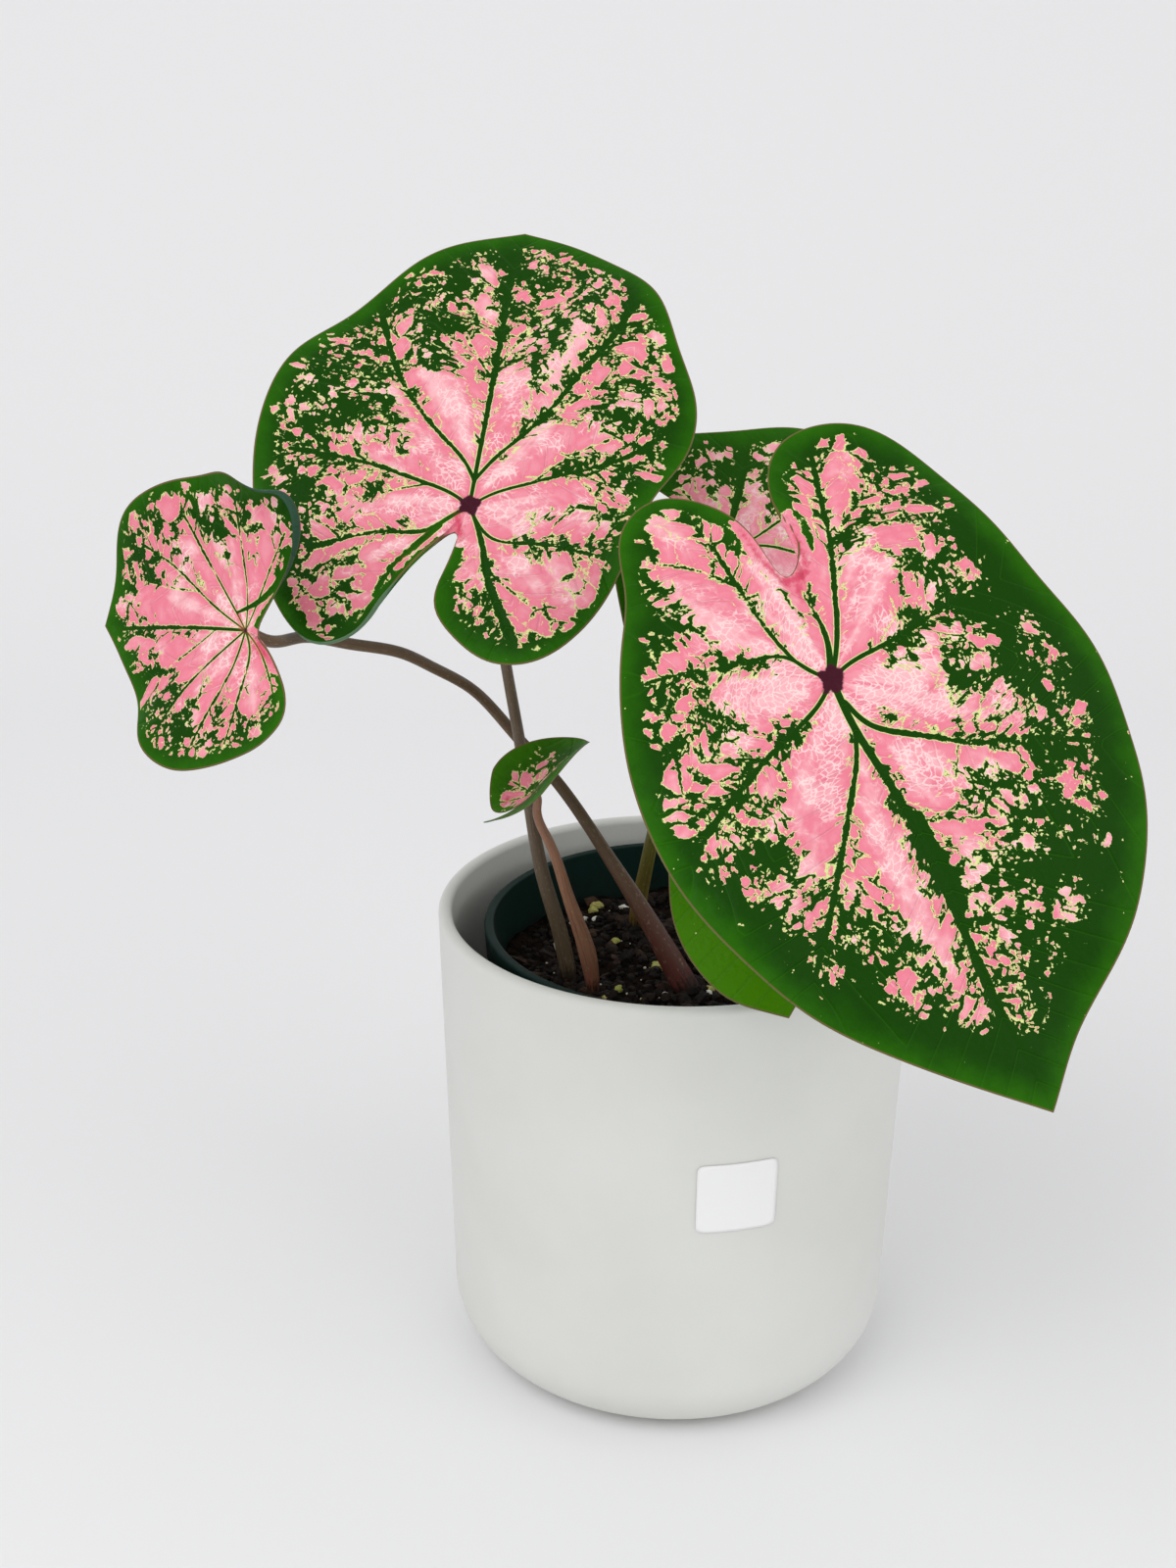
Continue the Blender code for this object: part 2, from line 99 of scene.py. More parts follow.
# The leaves, drawn flat: u runs to the right of the joint and v along the midrib, and an angle is
# from the tip, positive to the right.
#   joint, heading, dip, roll: where the stalk meets the blade, and how midrib and face are turned
#   vee, right, left, tip, back: the fold at the midrib, and the bend each way for each 100 mm
#   spokes, rows: the grid of the mesh
#   outline: points of (angle, distance from the joint), and notch: the angle of its notch
#   veins: (angle at the rim, angle at the joint) of each, None at the tip
#   curls: (angle, half width as a share of the rim, depth, angle rolled)
#   waves: (height, number round the rim, phase)
#   ribs: half widths of each green vein or band of painted shade at its start and end, then u, v, u, v and
#       so on
#   blots, blush: lines painted pink and crimson, as u, v, half width, u, v, half width and so on,
#   where a negative half width leaves only flecks
#   heart: reach of the pink round the joint
LEAVES = {
    "right": dict(
        joint=(31.6, -105.0, 256.8), heading=146.4, dip=43.5, roll=18.3,
        vee=7, right=22, left=22, tip=14, back=16, spokes=360, rows=90,
        outline=[
            (-3, 115), (9, 99), (25, 86), (47, 73), (70, 62), (92, 55), (117, 52), (137, 55), (152, 65),
            (165, 65), (175, 52), (179, 38), (-176, 30), (-167, 36), (-170, 50), (-164, 70), (-152, 75),
            (-133, 71.5), (-109, 63.5), (-95, 63), (-71, 72), (-47, 82), (-28, 92), (-11, 103)],
        notch=-176,
        veins=[
            (-158, -148), (-95, -112), (-49, -10), (None, 1), (30, 8), (66, 63), (110, 138), (163, 135)],
        waves=[(1.6, 7, 40), (0.6, 13, 100)],
        heart=15,
        ribs=[
            (0.9, 1.6, 0, 0, 0.5, 12, -1.5, 30, -2.8, 50, -3, 75, -3.5, 95, -6, 113),
            (2.4, 2.6, -3.5, 40, -4.5, 62),
            (0.6, 1.0, 0.5, 14, 2.5, 19, 10, 31, 17, 41, 24, 51, 31, 60, 38, 70),
            (0.5, 1.0, 0, 0, 6, 5, 15, 9.5, 25, 14, 36, 20, 46, 26, 53, 32),
            (0.5, 0.7, 0, 0, 4, -4, 8, -9, 20, -11, 32, -13, 44, -14),
            (0.5, 0.7, 0, 0, 5, -5, 8, -12, 10, -22, 11, -34, 12, -46, 14, -57),
            (0.3, 0.3, 11, -31, 17, -38, 26, -44), (0.4, 0.3, 23, -11, 32, -6, 42, 1, 50, 4),
            (0.7, 1.0, -0.5, 7, -3, 13.5, -9, 18.5, -17, 23, -24, 27, -41, 31.5, -60, 40),
            (0.5, 1.0, 0, 0, -5, -2, -16, -3.6, -27, -5.7, -38, -8, -58, -10),
            (0.6, 0.9, 0, 0, -4, -6, -9, -16, -13, -26, -17, -36, -20, -47, -24, -60),
            (0.4, 0.5, -15, -33, -22, -38, -32, -45, -41, -51),
            (0.9, 0.3, -1, -3, -3.5, -10, -4, -18, -4, -25)],
        blots=[
            (2.5, 20, 1.5, 7, 42, 5.5, 7, 60, 5), (5, 60, 4.5, 4, 72, 4, 3, 86, 1.8),
            (13, 46, 4, 22, 50, 1.8), (14, 53, 2.5, 16, 58, 1.5), (11, 72, 2, 15, 75, 1.2),
            (16, 78, 1, 19, 76, 0.6), (15, 66, 0.8, 17, 64, 0.8), (26, 54, 2, 28, 56, 1),
            (21, 63, 0.8, 22, 62, 0.8), (32, 66, 0.9, 34, 68, 0.9), (5, 10, 3, 14, 22, 8.5, 22, 33, 6),
            (19, 33, 4, 24, 36, 3.5), (21, 41, 2.5, 28, 45, 2), (34, 45, 2, 38, 44, 2),
            (32, 51, 1.3, 36, 52, 1), (31, 29, 3, 37, 26, 2.2), (42, 24, 1.5, 45, 29, 1.8),
            (48, 36, 1.2, 49, 31, 1.2), (26, 19, 3, 30, 21, 2), (8, 0, 4, 20, -1, 7, 27, -6, 4),
            (26, 9, 1.5, 34, 8, 2), (36, 13, 3, 41, 17, 2), (46, 12, 2, 50, 22, 2.2),
            (50, 19, 2, 48, 10, 2), (38, 3, 2.5, 41, 8, 1.5), (34, -9, 2, 46, -1, 2),
            (47, -4, 1, 44, -10, 1), (11, -14, 3, 18, -22, 7.5, 23, -34, 5), (28, -18, 3.5, 38, -17, 3.5),
            (39, -22, 2, 40, -16, 2.5), (32, -33, 2.2, 33, -40, 1.2),
            (13, -41, 2, 19, -50, 6, 22, -54, 4.5), (3, -8, 2.5, 5, -30, 4, 8, -40, 2),
            (-4, 17, 3, -12, 26, 7.5, -8, 36, 3.5), (-15, 35, 3, -8, 40, 1.5), (-8, 44, 2, -14, 47, 3.5),
            (-14, 49, 3, -17, 53, 2), (-22, 47, 2.4, -21, 45, 2), (-30, 43, 1, -28, 44, 1),
            (-24, 30, 3, -33, 35, 3), (-44, 46, 2.6, -45, 49, 2), (-28, 54, 1.2, -27, 54, 1),
            (-5, 74, 1.5, -12, 72, 2.2), (-6, 77, 1.5, -11, 79, 1.8), (-9, 63, 1, -20, 67, 1),
            (-5, 86, 1.5, -8, 87, 1.2), (-6, 89, 1.2, -12, 93, 1), (-10, 59, 0.8, -14, 55, 1.5),
            (-28, 75, 1.3, -32, 71, 1), (-20, 48, -2, -46, 62, -2), (-30, 72, -2, -20, 84, -2),
            (-4, 6, 3, -14, 9, 6.5, -20, 17, 5), (-27, 20, 2.5, -38, 20, 2), (-41, 25, 2.2, -33, 27, 1.2),
            (-38, 6, 1.6, -36, 8, 1.2), (-25, 3, 2, -22, 8, 1.5), (-35, 1, 1, -28, -1, 1.8),
            (-55, 14, 0.9, -51, 11, 1.2), (-55, 30, 1.3, -48, 31, 1.2), (-50, 2, -2, -52, 40, -2),
            (-53, 6, 0.8, -53, 5, 0.8), (-7, -5, 2.5, -16, -12, 6, -22, -24, 7),
            (-31, -11, 2.2, -29, -16, 2), (-40, -14, 1.5, -46, -14, 1.2), (-31, -28, 3, -40, -25, 2),
            (-44, -34, 1.8, -36, -38, 2.5), (-50, -36, 1.2, -49, -34, 1), (-47, -45, 1.8, -42, -47, 1.6),
            (-33, -42, 2, -39, -41, 1.5), (-22, -41, 3, -29, -52, 5.5, -31, -58, 4),
            (-7, -9, 2, -8, -28, 2.5), (-11, -31, 2.5, -17, -50, 3.5), (-17, -50, 3, -18, -56, 1.5),
            (-1, -8, 2, -2, -28, 3), (3, -20, 3.5, 6, -36, 4), (9, -32, 2, 10, -56, 3),
            (-8, -14, 3, -12, -30, 3.5), (-30, -30, 5, -38, -30, 4), (-24, -44, 5, -30, -55, 6),
            (18, -40, 5, 21, -54, 6), (15, -30, 4.5, 26, -42, 5.5), (18, 36, 4, 25, 43, 3.5),
            (16, 46, 2.5, 22, 48, 2.5)],
        blush=[
            (-7, -29, 1.6, -1, -28.5, 1.8), (0, -29, 1.3, 2.6, -36, 1), (2.6, -36, 0.9, 3.6, -47, 0.4),
            (-8, -31, 1.2, -10, -46, 0.5), (-4, -28, 1.5, -2, -21, 0)]),
    "centre": dict(
        joint=(-59.4, -45.0, 284.5), heading=10.2, dip=-44.3, roll=6.0,
        vee=7, right=16, left=16, tip=10, back=14, spokes=360, rows=90,
        outline=[
            (0, 98), (10, 95), (19, 91), (28, 86), (40, 76), (54, 69), (69, 59), (82, 49), (97, 45.5),
            (119, 46), (137, 48), (152, 49), (165, 46), (177, 39), (-172, 31), (-170, 24), (-172, 15),
            (-162, 8.5), (-150, 13), (-148, 25), (-150, 38), (-151, 51), (-146, 58), (-128, 58), (-92, 58),
            (-68, 65), (-52, 70.5), (-38, 72.5), (-26, 78), (-10, 91)],
        notch=-162,
        veins=[
            (-143, -138), (-121, -128), (-82, -68), (-36, -8), (None, 0), (29, 10), (63, 62), (112, 135),
            (157, 148)],
        curls=[(-148, 0.09, 4, 110)],
        waves=[(1.4, 6, 210), (0.5, 11, 30)],
        heart=18,
        ribs=[
            (0.5, 1.2, 0, 0, 0, 30, -0.5, 60, -1, 80, 0, 96),
            (0.5, 1.0, 0, 8, -3, 13, -10, 20, -17, 27, -24, 36, -28, 44, -37, 66),
            (0.4, 0.2, -0.5, 42, -5, 48, -10, 55), (0.5, 0.2, -0.5, 59, -6, 62, -13, 64),
            (0.5, 0.3, 0, 46, 4, 54, 7, 62, 8, 72),
            (0.5, 1.1, 0, 8, 4, 15, 12, 25, 18, 34, 23, 44, 28, 53, 36, 72),
            (0.3, 0.4, 14, 27, 21, 34, 30, 42, 42, 50),
            (0.4, 0.8, 0, 0, 5, 4, 14, 8, 24, 12, 34, 16, 43, 22, 50, 30),
            (0.3, 0.3, 16, 9, 24, 17, 34, 24), (0.4, 0.7, 0, 0, 3, -5, 7, -9, 18, -10, 28, -11, 44, -14),
            (0.4, 1.6, 0, 0, 3, -6, 6, -14, 8, -21, 12, -29, 17, -38),
            (0.3, 0.3, 8, -19, 16, -25, 26, -31),
            (0.5, 0.8, 0, 0, -5, 3, -14, 5.5, -25, 8, -36, 9.5, -50, 10),
            (0.3, 0.2, -12, 5, -22, 1, -32, -4),
            (0.6, 0.7, 0, 0, -5, -4.5, -10, -9, -20, -11, -30, -14, -40, -19),
            (1.0, 0.6, -7, -7, -12, -14, -17, -21, -20, -30)],
        blots=[
            (-2, 12, 1.5, -8, 28, 6, -14, 37, 5.5, -21, 38, 3.5), (-4, 37, 3, -8, 42, 2.5),
            (-25, 43, 2, -29, 56, 3), (-30, 52, 2.5, -33, 53, 1.5), (-5, 58, 2.5, -8, 52, 2),
            (-9, 49, 1.5, -12, 53, 1), (-7, 65, 3, -7, 74, 2.6), (-8, 78, 2, -11, 81, 1),
            (-28, 72, 1, -22, 74, 1), (-23, 63, 1, -18, 64, 1), (-16, 66, 0.8, -14, 64, 1),
            (-18, 52, -0.8, -12, 48, -0.8), (-20, 80, -2, -10, 88, -2), (-34, 62, -2, -30, 70, -2),
            (2, 14, 1.5, 6, 30, 4, 6, 42, 4), (3, 52, 2, 4, 59, 1.8), (12, 33, 2, 17, 37, 2.6),
            (17, 46, 2.5, 22, 56, 4.5), (22, 60, 3, 19, 66, 1.5), (9, 72, 1.8, 11, 64, 1.5),
            (15, 71, 2, 15, 75, 1.6), (7, 85, 1.6, 8, 87, 1.6), (13, 86, 1.2, 13, 88, 1.2),
            (23, 76, 1.3, 25, 79, 0.9), (29, 77, 0.7, 29, 79, 0.7), (30, 72, 1.8, 30, 70, 1.6),
            (27, 65, 2, 24, 69, 1.2), (2, 74, 1, 4, 76, 0.8), (5, 68, -0.5, 8, 52, -0.5),
            (3, 90, -1, 24, 84, -1), (4, 5, 2.5, 14, 16, 6, 20, 24, 5, 34, 24, 3.5),
            (22, 32, 3, 26, 38, 2.6), (28, 44, 3, 34, 48, 2.6), (35, 52, 2.6, 42, 60, 2.8),
            (34, 64, 1.5, 38, 67, 1.6), (45, 48, 1.8, 37, 48, 2.2), (47, 36, 2.4, 38, 37, 2.4),
            (30, 60, 1.2, 27, 57, 1.2), (45, 55, 1, 46, 41, 1), (42, 26, 1, 47, 24, 0.8),
            (5, -2, 3, 16, 3, 5, 28, 6, 4.5), (30, 5, 4, 37, 2, 2), (34, 13, 2, 38, 18, 1.5),
            (20, -6, 2.6, 32, -6, 2.4), (36, -5, 1.8, 42, -8, 1.5), (42, 18, 1.6, 48, 15, 1.8),
            (40, 6, 1.5, 42, 2, 1.2), (8, -13, 2, 16, -18, 5, 22, -26, 4.5), (24, -16, 3.5, 36, -18, 2.6),
            (26, -30, 3, 34, -26, 2.5), (13, -33, 1.5, 22, -37, 2.4), (31, -33, 1.5, 28, -34, 1.5),
            (-1, -5, 2, 2, -14, 2, 6, -24, 2.6), (4, -30, 1.2, 7, -34, 1), (2, -20, 0.6, 3, -26, 0.6),
            (-3, 5, 2.5, -12, 14, 5.5, -17, 22, 3), (-17, 24, 2, -25, 33, 2), (-24, 12, 3, -33, 17, 1.8),
            (-18, 9, 3.5, -28, 11, 2.2), (-40, 17, 1.2, -36, 12, 1.6), (-39, 33, 2, -34, 32, 1.6),
            (-42, 42, 1.2, -34, 42, 1.2), (-47, 49, 0.9, -43, 49, 1), (-52, 34, 1.2, -54, 37, 1),
            (-55, 22, 1.6, -52, 21, 1), (-44, 25, 0.9, -45, 26, 0.9), (-30, 26, -0.5, -26, 20, -0.5),
            (-50, 44, -1.2, -40, 54, -1.2), (-5, -1, 2.5, -16, 0, 4.5, -22, -5, 4),
            (-30, 3, 2.6, -37, 2, 2.2), (-31, -3, 2.2, -36, 0, 1.6), (-26, 5, 1.6, -30, 8, 1),
            (-36, -13, 2.6, -40, -11, 2), (-25, -8, 2.6, -33, -8, 2.2),
            (-14, -13, 2.5, -24, -18, 4, -20, -28, 2.4), (-32, -20, 2.6, -38, -24, 2.2),
            (-38, -34, 2, -33, -36, 2), (-26, -31, 2.4, -24, -36, 1.8), (-33, -42, 1.2, -30, -42, 1.2),
            (-40, -29, 1, -41, -25, 1), (-50, 10, 1.6, -44, 10, 1.4), (-42, 5, 1.6, -43, 7, 1.2),
            (-54, 1, 0.9, -52, 1, 0.9), (-54, 15, 0.9, -52, 14, 0.9), (-6, 46, 3, -4, 57, 2.5),
            (22, -20, 6, 30, -26, 5), (33, -14, 3.5, 36, -22, 3.5), (14, -24, 4, 20, -34, 4.5),
            (28, -4, 4, 36, -4, 3), (-28, -14, 4, -36, -21, 4), (-22, -22, 3.5, -22, -34, 3),
            (-30, -26, 3, -36, -34, 3)],
        blush=[(-3, -3, 1.5, -1, -9, 1.5), (-5, -9, 1, -1, -11, 1), (-9, -10, 0.6, -16, -20, 0.5)]),
    "left": dict(
        joint=(-113.5, -86.0, 262.1), heading=-59.0, dip=8.4, roll=-57.5,
        vee=7, right=-70, left=0, tip=10, back=10, spokes=300, rows=70,
        outline=[
            (1, 50), (11, 50), (24, 53), (36, 52), (52, 46), (69, 41), (86, 38), (101, 37), (113, 39),
            (121, 36), (126, 29), (130, 20), (136, 12), (150, 6), (175, 4.2), (-162, 5), (-151, 9),
            (-144, 16), (-138, 24), (-130, 31), (-118, 34), (-106, 34.5), (-93, 36), (-75, 39), (-53, 39),
            (-35, 36.5), (-18, 39), (-7, 44)],
        notch=178,
        veins=[
            (-121, -143), (-104, -125), (-82, -92), (-58, -40), (None, 0), (28, 34), (55, 52), (86, 84),
            (112, 113), (142, 130)],
        curls=[(112, 0.13, 6, 150)],
        waves=[(0.7, 6, 120), (0.3, 11, 10)],
        heart=17,
        ribs=[
            (0.4, 0.7, 0, 0, 0.5, 20, 0, 46), (0.2, 0.4, 0, 0, 7, 13, 16, 26, 22, 38),
            (0.2, 0.4, 0, 0, 7, 6, 17, 14, 29, 22), (0.2, 0.3, 0, 0, 10, 1, 21, 3, 32, 4),
            (0.2, 0.3, 0, 0, 8, -3, 17, -7, 24, -11), (0.3, 0.5, 0, 0, -9, 9, -19, 16, -31, 20),
            (0.3, 0.5, 0, 0, -11, 1, -21, 4, -33, 7), (0.3, 0.4, 0, 0, -5, -3, -14, -4, -32, -4),
            (0.2, 0.3, 0, 0, -5, -6, -11, -11, -20, -17), (0.2, 0.3, 0, 10, -6, 17, -11, 24, -15, 32),
            (0.2, 0.2, 10, 18, 11, 28, 13, 37),
            # The last rib, wide at the rim, is a band of green painted along the fold of the rolled edge:
            # painted shade, not a vein.
            (2.4, 0.4, 36, -14, 31, -17.5, 23.5, -16, 16, -12, 11, -8, 7, -2.5, 4.6, 3.6)],
        blots=[
            (3, 6, 3, 7, 22, 7, 7, 36, 4.5), (5, 40, 3, 7, 45, 1.2), (-4, 8, 3.5, -9, 16, 5, -5, 26, 4),
            (-4, 30, 3, -2, 42, 1.6), (-8, 32, 1.5, -12, 35, 0.8), (-13, 24, 2, -19, 27, 1.2),
            (14, 12, 5, 23, 20, 4), (15, 26, 3.5, 17, 33, 2), (20, 30, 3, 25, 37, 2.5),
            (28, 38, 1, 26, 42, 0.8), (28, 26, 2, 33, 30, 1.4), (-16, 12, 3.5, -22, 17, 2.2),
            (-28, 18, 1.2, -31, 16, 1), (-12, 2, 3.5, -22, 6, 3), (-28, 4, 1.4, -32, 3, 1),
            (-12, -2, 3, -22, -3, 2.2), (-27, -3, 1.2, -24, -1, 1.2), (-9, -7, 3, -18, -9, 3),
            (-18, -9, 3.5, -25, -14, 2.6), (-15, -15, 2, -20, -17, 1.4), (13, 3, 3.5, 24, 3, 3.5),
            (27, 4, 2.5, 31, 9, 1.6), (15, -4, 3, 24, -6, 3), (28, -4, 1.6, 22, -11, 1.6),
            (30, 14, 1.6, 34, 18, 1.4), (32, 22, 1.2, 35, 20, 1), (14, 42, 1.2, 20, 44, 0.8),
            (30, 34, -1, 34, 8, -1), (-24, 22, -1, -14, 36, -1), (-32, 10, -1, -30, -10, -1),
            (10, 46, -1, 28, 44, -1)],
        blush=[
            (4, 3, 0.5, 0.6, 2, 0.5, -1, -2, 0.7), (-2, -3, 1.2, -6, -8, 1.4), (-6, -8, 1, -10, -14, 0.5)]),
    "back": dict(
        joint=(12.7, -5.0, 262.4), heading=157.5, dip=42.3, roll=8.4,
        vee=6, right=45, left=45, tip=15, back=15, spokes=320, rows=80,
        outline=[
            (9, 136), (12, 134), (16, 131), (20, 124), (23, 116), (25, 108), (26.5, 98), (30, 84),
            (39, 64), (55, 46), (77, 37), (100, 34), (118, 31), (130, 25), (138, 16), (149, 13), (151, 30),
            (157, 39), (170, 43), (-175, 42), (-160, 43), (-145, 49), (-128, 58), (-110, 60), (-90, 60),
            (-70, 62), (-50, 70), (-32, 80), (-14, 96), (1, 116)],
        notch=147,
        veins=[
            (-156, -165), (-118, -105), (-72, -92), (-36, -20), (None, -4), (34, 15), (76, 60), (112, 105)],
        waves=[(1.0, 6, 60), (0.4, 11, 0)],
        heart=14,
        ribs=[
            (0.8, 1.4, 0, 0, 0, 20, 8, 70, 19, 130), (0.6, 0.8, 0, 4, 10, 20, 18, 36, 24, 60),
            (0.6, 0.8, 0, 0, 12, 4, 24, 12, 38, 20), (0.4, 0.5, 0, 0, 4, -14, 8, -26),
            (0.6, 0.9, 0, 6, -12, 18, -24, 30, -42, 52), (0.4, 0.6, 0, 0, -9, 0, -19, 4.5, -34, 12),
            (0.3, 0.5, 0, 0, -9, -3, -17, -6.6, -34, -14),
            (0.5, 1.8, 0, 0, -4.4, -11, -8.4, -18, -12.3, -26, -16, -34)],
        blots=[
            (4, 16, 2.5, 8, 42, 4.5, 9, 66, 3), (14, 24, 3, 20, 40, 3),
            (-5, 16, 3, -14, 30, 6, -18, 46, 3.5), (-16, 62, 2, -20, 70, 1.6),
            (-6, 4, 3, -20, 12, 6, -34, 20, 3.5), (-42, 24, 2, -38, 34, 2), (2, -14, 4, 6, -22, 3.6),
            (5, -24, 2.5, 1, -24, 1), (-3, -16, 2, -5, -19, 1), (-10, -9, 2.5, -13, -17, 2.2),
            (-13, -19, 1.4, -15, -23, 0.8), (-15, -4, 3, -28, -8, 3), (-12, 3, 3, -30, 4, 4),
            (-24, -16, 2, -30, -20, 1.5), (9, -22, 2, 11, -16, 2), (-21, -30, 1, -25, -34, 0.9),
            (-4, -35, 0.8, -6, -33, 0.8), (6, -31, -0.4, -10, -32, -0.4),
            (6, 6, 3, 20, 12, 5, 30, 18, 2.4), (5, -3, 2.5, 12, -5, 4), (1, 84, 1, 6, 90, 1.2),
            (-10, 84, -1, 12, 96, -1), (-40, 44, -1, -30, 60, -1)],
        blush=[(13, -13, 1.2, 10, -20, 0.8), (-16, -3, -0.5, -17, -4, -0.5)]),
    "young": dict(
        joint=(-43.0, -42.0, 202.2), heading=54.3, dip=-41.9, roll=-29.0,
        vee=29, right=275, left=-237, tip=89, back=-227, spokes=200, rows=44,
        outline=[
            (0, 21.7), (14, 21.2), (35, 19), (65, 17.3), (95, 16.7), (122, 17.9), (146, 20.1), (160, 19),
            (168, 11.2), (180, 4.5), (-165, 9), (-153, 13), (-135, 14.1), (-110, 14.7), (-80, 15.8),
            (-50, 17.5), (-25, 20.3), (-10, 22)],
        notch=180,
        veins=[(-140, -140), (-90, -90), (-40, -20), (None, 0), (40, 20), (90, 90), (145, 150)],
        heart=-4,
        ribs=[
            (0.3, 0.2, 0, 0, 0, 20), (0.2, 0.2, 0, 0, 8, 8, 11, 14), (0.2, 0.2, 0, 0, 14, 0),
            (0.2, 0.2, 0, 0, 8, -6, 11, -12), (0.2, 0.2, 0, 0, -8, 8, -11, 14), (0.2, 0.2, 0, 0, -14, 0),
            (0.2, 0.2, 0, 0, -6, -6, -8, -10)],
        blots=[
            (-6, 8, 1.2, -3, 6, 1), (-8, 1, 1, -6, 2, 0.8), (-6, -4, 1.2, -5, -3, 1),
            (2, 9, 0.4, 6, 8, 0.4), (3, 4, 0.4, 8, 4, 0.4), (-3, 12, -0.6, -9, 10, -0.6)],
        blush=[(0, -1, 0.9, 0, -5, 0.5), (-7, -5, 0.7, -6, -7, 0.7)]),
}

# The stalks: points from the soil's surface up, radii at these and at the end, the length of the
# straight neck behind the blade, and how far the end is set behind the blade.
STALKS = {
    "right": dict(points=[(42, -12, 130), (56, -40, 155), (62, -64, 180), (56, -88, 215),
                          (42, -97, 241)],
                  radii=[3.4, 2.6, 2.3, 2.1, 1.9, 1.8], neck=7, sunk=0.8),
    "centre": dict(points=[(-32.7, -13, 130), (-35.3, -13, 144.5), (-40.1, -13, 161.9),
                           (-43.8, -14, 182), (-47.4, -17, 208.6), (-50.4, -22, 229.6),
                           (-55.5, -32, 262)],
                   radii=[2.6, 2.4, 2.2, 1.9, 1.7, 1.6, 1.5, 1.5], neck=7, sunk=0.7),
    "left": dict(points=[(2.9, -19.3, 130), (-8.8, -17, 151.2), (-22.3, -13, 172.3),
                         (-36.6, -9, 192.6), (-49.4, -9, 207.9), (-60.1, -16, 222.9),
                         (-71.2, -28, 234), (-79.5, -38, 241.5), (-92, -50, 247.6),
                         (-102, -63, 253.4)],
                 radii=[4.2, 2.9, 1.9, 1.8, 1.7, 1.6, 1.6, 1.6, 1.6, 1.6, 1.6], neck=7, sunk=0.4),
    "back": dict(points=[(-11.3, 23, 130), (-11.1, 22.5, 136.3), (-9.7, 20.5, 147.5),
                         (-7.4, 18, 162), (2, 15, 210), (9.5, 6, 246)],
                 radii=[2.8, 2.6, 2.3, 2.1, 1.8, 1.6, 1.5], neck=7, sunk=0.7),
    "young": dict(points=[(-25.1, -22, 130), (-27, -25, 143.5), (-32.8, -30, 164.5),
                          (-38.8, -37, 186), (-41.7, -40.6, 197)],
                  radii=[1.9, 2.7, 1.8, 1.4, 1.25, 1.2], neck=0.5, sunk=0.1),
}


def spline(points, at):
    """Smooth curve through points, read at the shares of its length given by at.

    It is the natural cubic spline whose parameter is the straight distance from point to point.
    """
    points = np.asarray(points, float)
    steps = np.linalg.norm(np.diff(points, axis=0), axis=1)
    knots = np.concatenate([[0.0], np.cumsum(steps)])
    count = len(points)
    left = np.eye(count)
    right = np.zeros_like(points)
    for i in range(1, count - 1):
        left[i, i - 1:i + 2] = steps[i - 1], 2 * (steps[i - 1] + steps[i]), steps[i]
        slopes = (points[i + 1] - points[i]) / steps[i], (points[i] - points[i - 1]) / steps[i - 1]
        right[i] = 6 * (slopes[0] - slopes[1])
    bend = np.linalg.solve(left, right)
    s = np.asarray(at) * knots[-1]
    i = np.clip(np.searchsorted(knots, s, side="right") - 1, 0, count - 2)
    h = steps[i][:, None]
    b = (s - knots[i])[:, None] / h
    a = 1 - b
    line = a * points[i] + b * points[i + 1]
    return line + ((a**3 - a) * bend[i] + (b**3 - b) * bend[i + 1]) * h**2 / 6


def add_object(name, data):
    """An object of some data, linked to the scene."""
    made = bpy.data.objects.new(name, data)
    bpy.context.scene.collection.objects.link(made)
    return made


def add_piece(name, mesh, material):
    """The object of a mesh in one material."""
    mesh.materials.append(material)
    return add_object(name, mesh)


def skin(name, points, material, marks=None):
    """Closed skin over a grid: each row of points is a ring, and the end rows close to a pole.

    marks are named values over the grid, one column wider than it, which each face's corners keep,
    so a value may jump where the ring closes.  The faces are turned to point outwards.
    """
    rows, columns = points.shape[:2]
    number = np.zeros((rows, columns + 1), int)
    number[1:-1, :-1] = 1 + np.arange((rows - 2) * columns).reshape(rows - 2, columns)
    number[1:-1, -1] = number[1:-1, 0]
    number[-1] = 1 + (rows - 2) * columns
    corners = np.vstack([points[:1].mean(1), points[1:-1].reshape(-1, 3), points[-1:].mean(1)])
    i, j = (g.ravel() for g in np.meshgrid(np.arange(rows - 1), np.arange(columns), indexing="ij"))
    places = np.stack([np.stack([i, j]), np.stack([i + 1, j]), np.stack([i + 1, j + 1]),
                       np.stack([i, j + 1])], axis=1)
    a, b, c, d = (corners[number[tuple(places[:, k])]] for k in range(4))
    volume = np.einsum("ij,ij->", a, np.cross(b, c)) + np.einsum("ij,ij->", a, np.cross(c, d))
    if volume < 0:
        places = places[:, ::-1]
    keep = np.ones(places.shape[1:], bool)
    keep[:, i == 0] = ~((places[0] == 0) & (places[1] == j + 1))[:, i == 0]
    keep[:, i == rows - 2] = ~((places[0] == rows - 1) & (places[1] == j + 1))[:, i == rows - 2]
    places = places.transpose(2, 1, 0)[keep.T]
    sizes = keep.sum(0)
    mesh = bpy.data.meshes.new(name)
    mesh.vertices.add(len(corners))
    mesh.vertices.foreach_set("co", (corners * MM).ravel())
    mesh.loops.add(len(places))
    mesh.loops.foreach_set("vertex_index", number[places[:, 0], places[:, 1]])
    mesh.polygons.add(len(sizes))
    mesh.polygons.foreach_set("loop_start", np.concatenate([[0], np.cumsum(sizes)[:-1]]))
    mesh.polygons.foreach_set("use_smooth", np.ones(len(sizes), bool))
    mesh.update(calc_edges=True)
    for key, values in (marks or {}).items():
        values = np.asarray(values, float)[places[:, 0], places[:, 1]]
        if key == "OFBake":
            mesh.uv_layers.new(name=key).data.foreach_set("uv", values.ravel())
        else:
            field = mesh.attributes.new(key, "FLOAT_VECTOR", "CORNER")
            field.data.foreach_set("vector", values.ravel())
    return add_piece(name, mesh, material)


